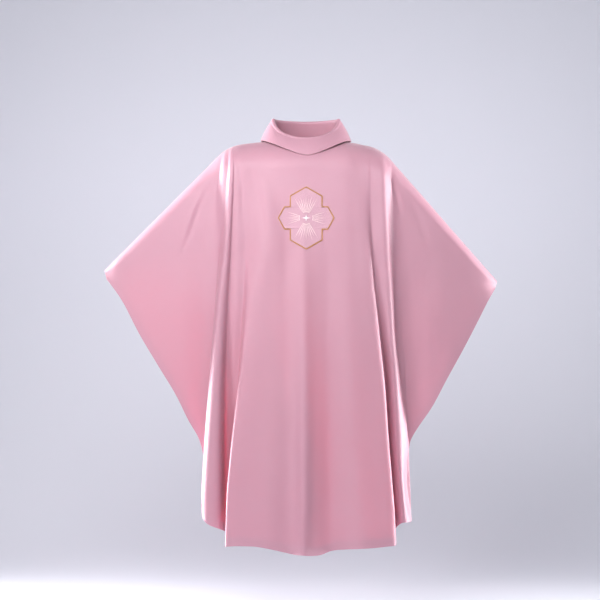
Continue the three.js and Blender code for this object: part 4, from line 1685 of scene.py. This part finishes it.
@dataclass
class Studio:
    """The pale backdrop, the lamps and the camera."""

    floor: float = -1500
    half_width: float = 6000
    front: float = -7000
    bend_from: float = 900
    bend_radius: float = 1500
    bend_steps: int = 24
    top: float = 4200
    backdrop: tuple = srgb(233, 234, 243)
    backdrop_shade: tuple = srgb(229, 230, 239)
    distance: float = 4500
    seen: float = 1830
    eye: tuple = (-18.3, -485)
    ambient: float = 0.33
    ambient_colour: tuple = (0.93, 0.94, 1.0, 1.0)
    lamps: tuple = (
        Softbox("key", (-0.45, -1.5, 0.6), (0.0, 0.0, -0.3), (1.1, 0.9), 30),
        Softbox("left_strip", (-2.4, -2.2, 0.3), (0.0, 0.0, -0.3), (0.7, 2.6), 13, 100),
        Softbox("fill", (1.8, -3.2, 0.9), (0.0, 0.0, -0.4), (2.0, 2.0), 14),
        Softbox("left_rim", (-2.2, 0.7, -0.7), (-0.2, -0.05, -0.7), (0.5, 2.2), 54, 80),
        Softbox("right_rim", (2.3, 0.35, -0.8), (0.2, -0.05, -0.7), (0.5, 2.2), 34, 80),
        Softbox("back_wash", (0.0, 1.0, 0.2), (0.0, 2.4, -0.5), (3.0, 1.0), 7),
    )

    def sweep(self) -> bpy.types.Object:
        """The floor, curving up into the backdrop."""
        bend = np.linspace(0, math.pi / 2, self.bend_steps)
        back = self.bend_from + self.bend_radius * np.sin(bend)
        rise = self.floor + self.bend_radius * (1 - np.cos(bend))
        y = np.concatenate([[self.front], back, [self.bend_from + self.bend_radius]])
        z = np.concatenate([[self.floor], rise, [self.top]])
        points = [(sign * self.half_width, a, b) for a, b in zip(y, z) for sign in (-1, 1)]
        faces = [(2 * i, 2 * i + 1, 2 * i + 3, 2 * i + 2) for i in range(len(y) - 1)]
        piece = make_mesh("backdrop", np.array(points), faces)
        graph = Graph("backdrop_paper")
        place = graph.add("ShaderNodeTexCoord", {}).outputs["Object"]
        patches = graph.math("MULTIPLY", graph.noise(place, 2), 0.1)
        tint = graph.mix(patches, self.backdrop, self.backdrop_shade)
        paper = graph.add("ShaderNodeBsdfPrincipled", {
            "Base Color": tint, "Roughness": 0.95, "Specular IOR Level": 0.1,
        })
        behind = graph.add("ShaderNodeNewGeometry", {}).outputs["Backfacing"]
        clear = graph.add("ShaderNodeBsdfTransparent", {})
        both = graph.add("ShaderNodeMixShader", {0: behind, 1: paper.outputs[0], 2: clear.outputs[0]})
        piece.data.materials.append(graph.done(both.outputs[0]))
        return piece

    def light(self) -> None:
        """Hang the lamps and set the room's own light."""
        for lamp in self.lamps:
            data = bpy.data.lights.new(lamp.name, "AREA")
            data.shape, (data.size, data.size_y) = "RECTANGLE", lamp.size
            data.energy, data.color, data.spread = lamp.power, lamp.colour, math.radians(lamp.spread)
            light = bpy.data.objects.new(lamp.name, data)
            light.location = lamp.place
            aim = Vector(lamp.aim) - Vector(lamp.place)
            light.rotation_euler = aim.to_track_quat("-Z", "Y").to_euler()
            light.visible_camera = False
            bpy.context.scene.collection.objects.link(light)
        world = bpy.data.worlds.new("room")
        world.use_nodes = True
        room = world.node_tree.nodes["Background"].inputs
        room[0].default_value = self.ambient_colour
        room[1].default_value = self.ambient
        bpy.context.scene.world = world
        bpy.context.scene.view_settings.view_transform = "Standard"

    def camera(self) -> None:
        """Stand the camera straight in front."""
        data = bpy.data.cameras.new("camera")
        data.angle = 2 * math.atan(self.seen / 2 / self.distance)
        camera = bpy.data.objects.new("camera", data)
        camera.location = (self.eye[0] * MM, -self.distance * MM, self.eye[1] * MM)
        camera.rotation_euler = (math.pi / 2, 0, 0)
        bpy.context.scene.collection.objects.link(camera)
        bpy.context.scene.camera = camera

    def build(self) -> None:
        """Set up the whole studio."""
        self.camera()
        self.sweep()
        self.light()


# ---------------------------------------------------------------- garment


@dataclass
class Chasuble:
    materials: dict = field(default_factory=dict)

    def dress(
        self,
        piece: bpy.types.Object,
        slot: Slot,
        nodes: Sequence[str],
        body: str = "garment",
        material: Optional[bpy.types.Material] = None,
    ) -> None:
        """Give a piece its finish and its place in the frame.

        Args:
            piece: The piece.
            slot: The record's slot that its finish comes from.
            nodes: The CAD nodes that it stands for.
            body: The body that it rides on.
            material: A finish other than the slot's.
        """
        piece.data.materials.clear()
        piece.data.materials.append(material or self.materials[slot])
        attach(piece, body)
        if nodes:
            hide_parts(*nodes)
        LOG.info("%s: %d points, finish %s", piece.name, len(piece.data.vertices), slot.value)

    def build(self) -> None:
        """Make and dress every piece."""
        self.materials = {slot: finish.material() for slot, finish in FINISHES.items()}
        stitch, rays = STITCH.material(), RAYS.material()
        slots = {
            "upper_collar": Slot.SHELL, "collar_interlining": Slot.INTERLINING,
            "emblem_backing": Slot.INTERLINING, "emblem_ground": Slot.GROUND, "emblem_border": Slot.GOLD,
        }
        panels = {
            Side.FRONT: Panel(Side.FRONT, FRONT_FOLDS, FRONT_CREASES),
            Side.BACK: Panel(Side.BACK, back_folds(FRONT_FOLDS), BACK_CREASES),
        }
        for panel in panels.values():
            self.dress(panel.build(), Slot.SHELL, [f"{panel.name}_panel"])
        inside = InsideLayers(panels).build()
        for node, piece in inside.items():
            self.dress(piece, Slot.TRIM, [node])
        collar = RollCollar(Ground([panel.cloth for panel in panels.values()]))
        layers = collar.build()
        for node, piece in layers.items():
            self.dress(piece, slots.get(node, Slot.TRIM), [node])
        loop = HangingLoop().build()
        self.dress(loop, Slot.TRIM, ["hanging_loop"], body="hanging_loop")
        front = panels[Side.FRONT]
        emblem = Emblem(Ground([front.cloth]), cloth=front.thickness).build()
        for node, piece in emblem.items():
            silk = rays if node.endswith("rays") else None
            self.dress(piece, slots.get(node, Slot.WHITE), [node], material=silk)
        rows = Stitching(panels, collar).build()
        for piece in rows.values():
            self.dress(piece, Slot.TRIM, [], material=stitch)
        self.declare(panels, inside, layers, emblem, rows)

    def declare(self, panels: dict, inside: dict, layers: dict, emblem: dict, rows: dict) -> None:
        """Gather the pieces sewn to each panel, and the tape sewn to the upper collar; the lists are not
        passed on.

        Args:
            panels: The two panels.
            inside: The layers sewn inside them.
            layers: The collar's layers and the binding.
            emblem: The embroidery.
            rows: The rows of stitches.
        """
        for side, panel in panels.items():
            sewn = [piece for node, piece in inside.items() if node.startswith(panel.name)]
            sewn.append(rows[f"{panel.name}_panel"])
            if side is Side.FRONT:
                sewn += [*emblem.values(), inside["right_shoulder_binding"], inside["left_shoulder_binding"]]
        tape = [layers["neckline_binding"], rows["neckline_binding"]]
        for node in ("under_collar", "collar_interlining", "upper_collar"):
            sewn = tape if node == "upper_collar" else ()


def main() -> None:
    """Build the studio and the garment."""
    logging.basicConfig(level=logging.INFO, format="%(name)s: %(message)s")
    Studio().build()
    Chasuble().build()


if __name__ == "__main__":
    main()
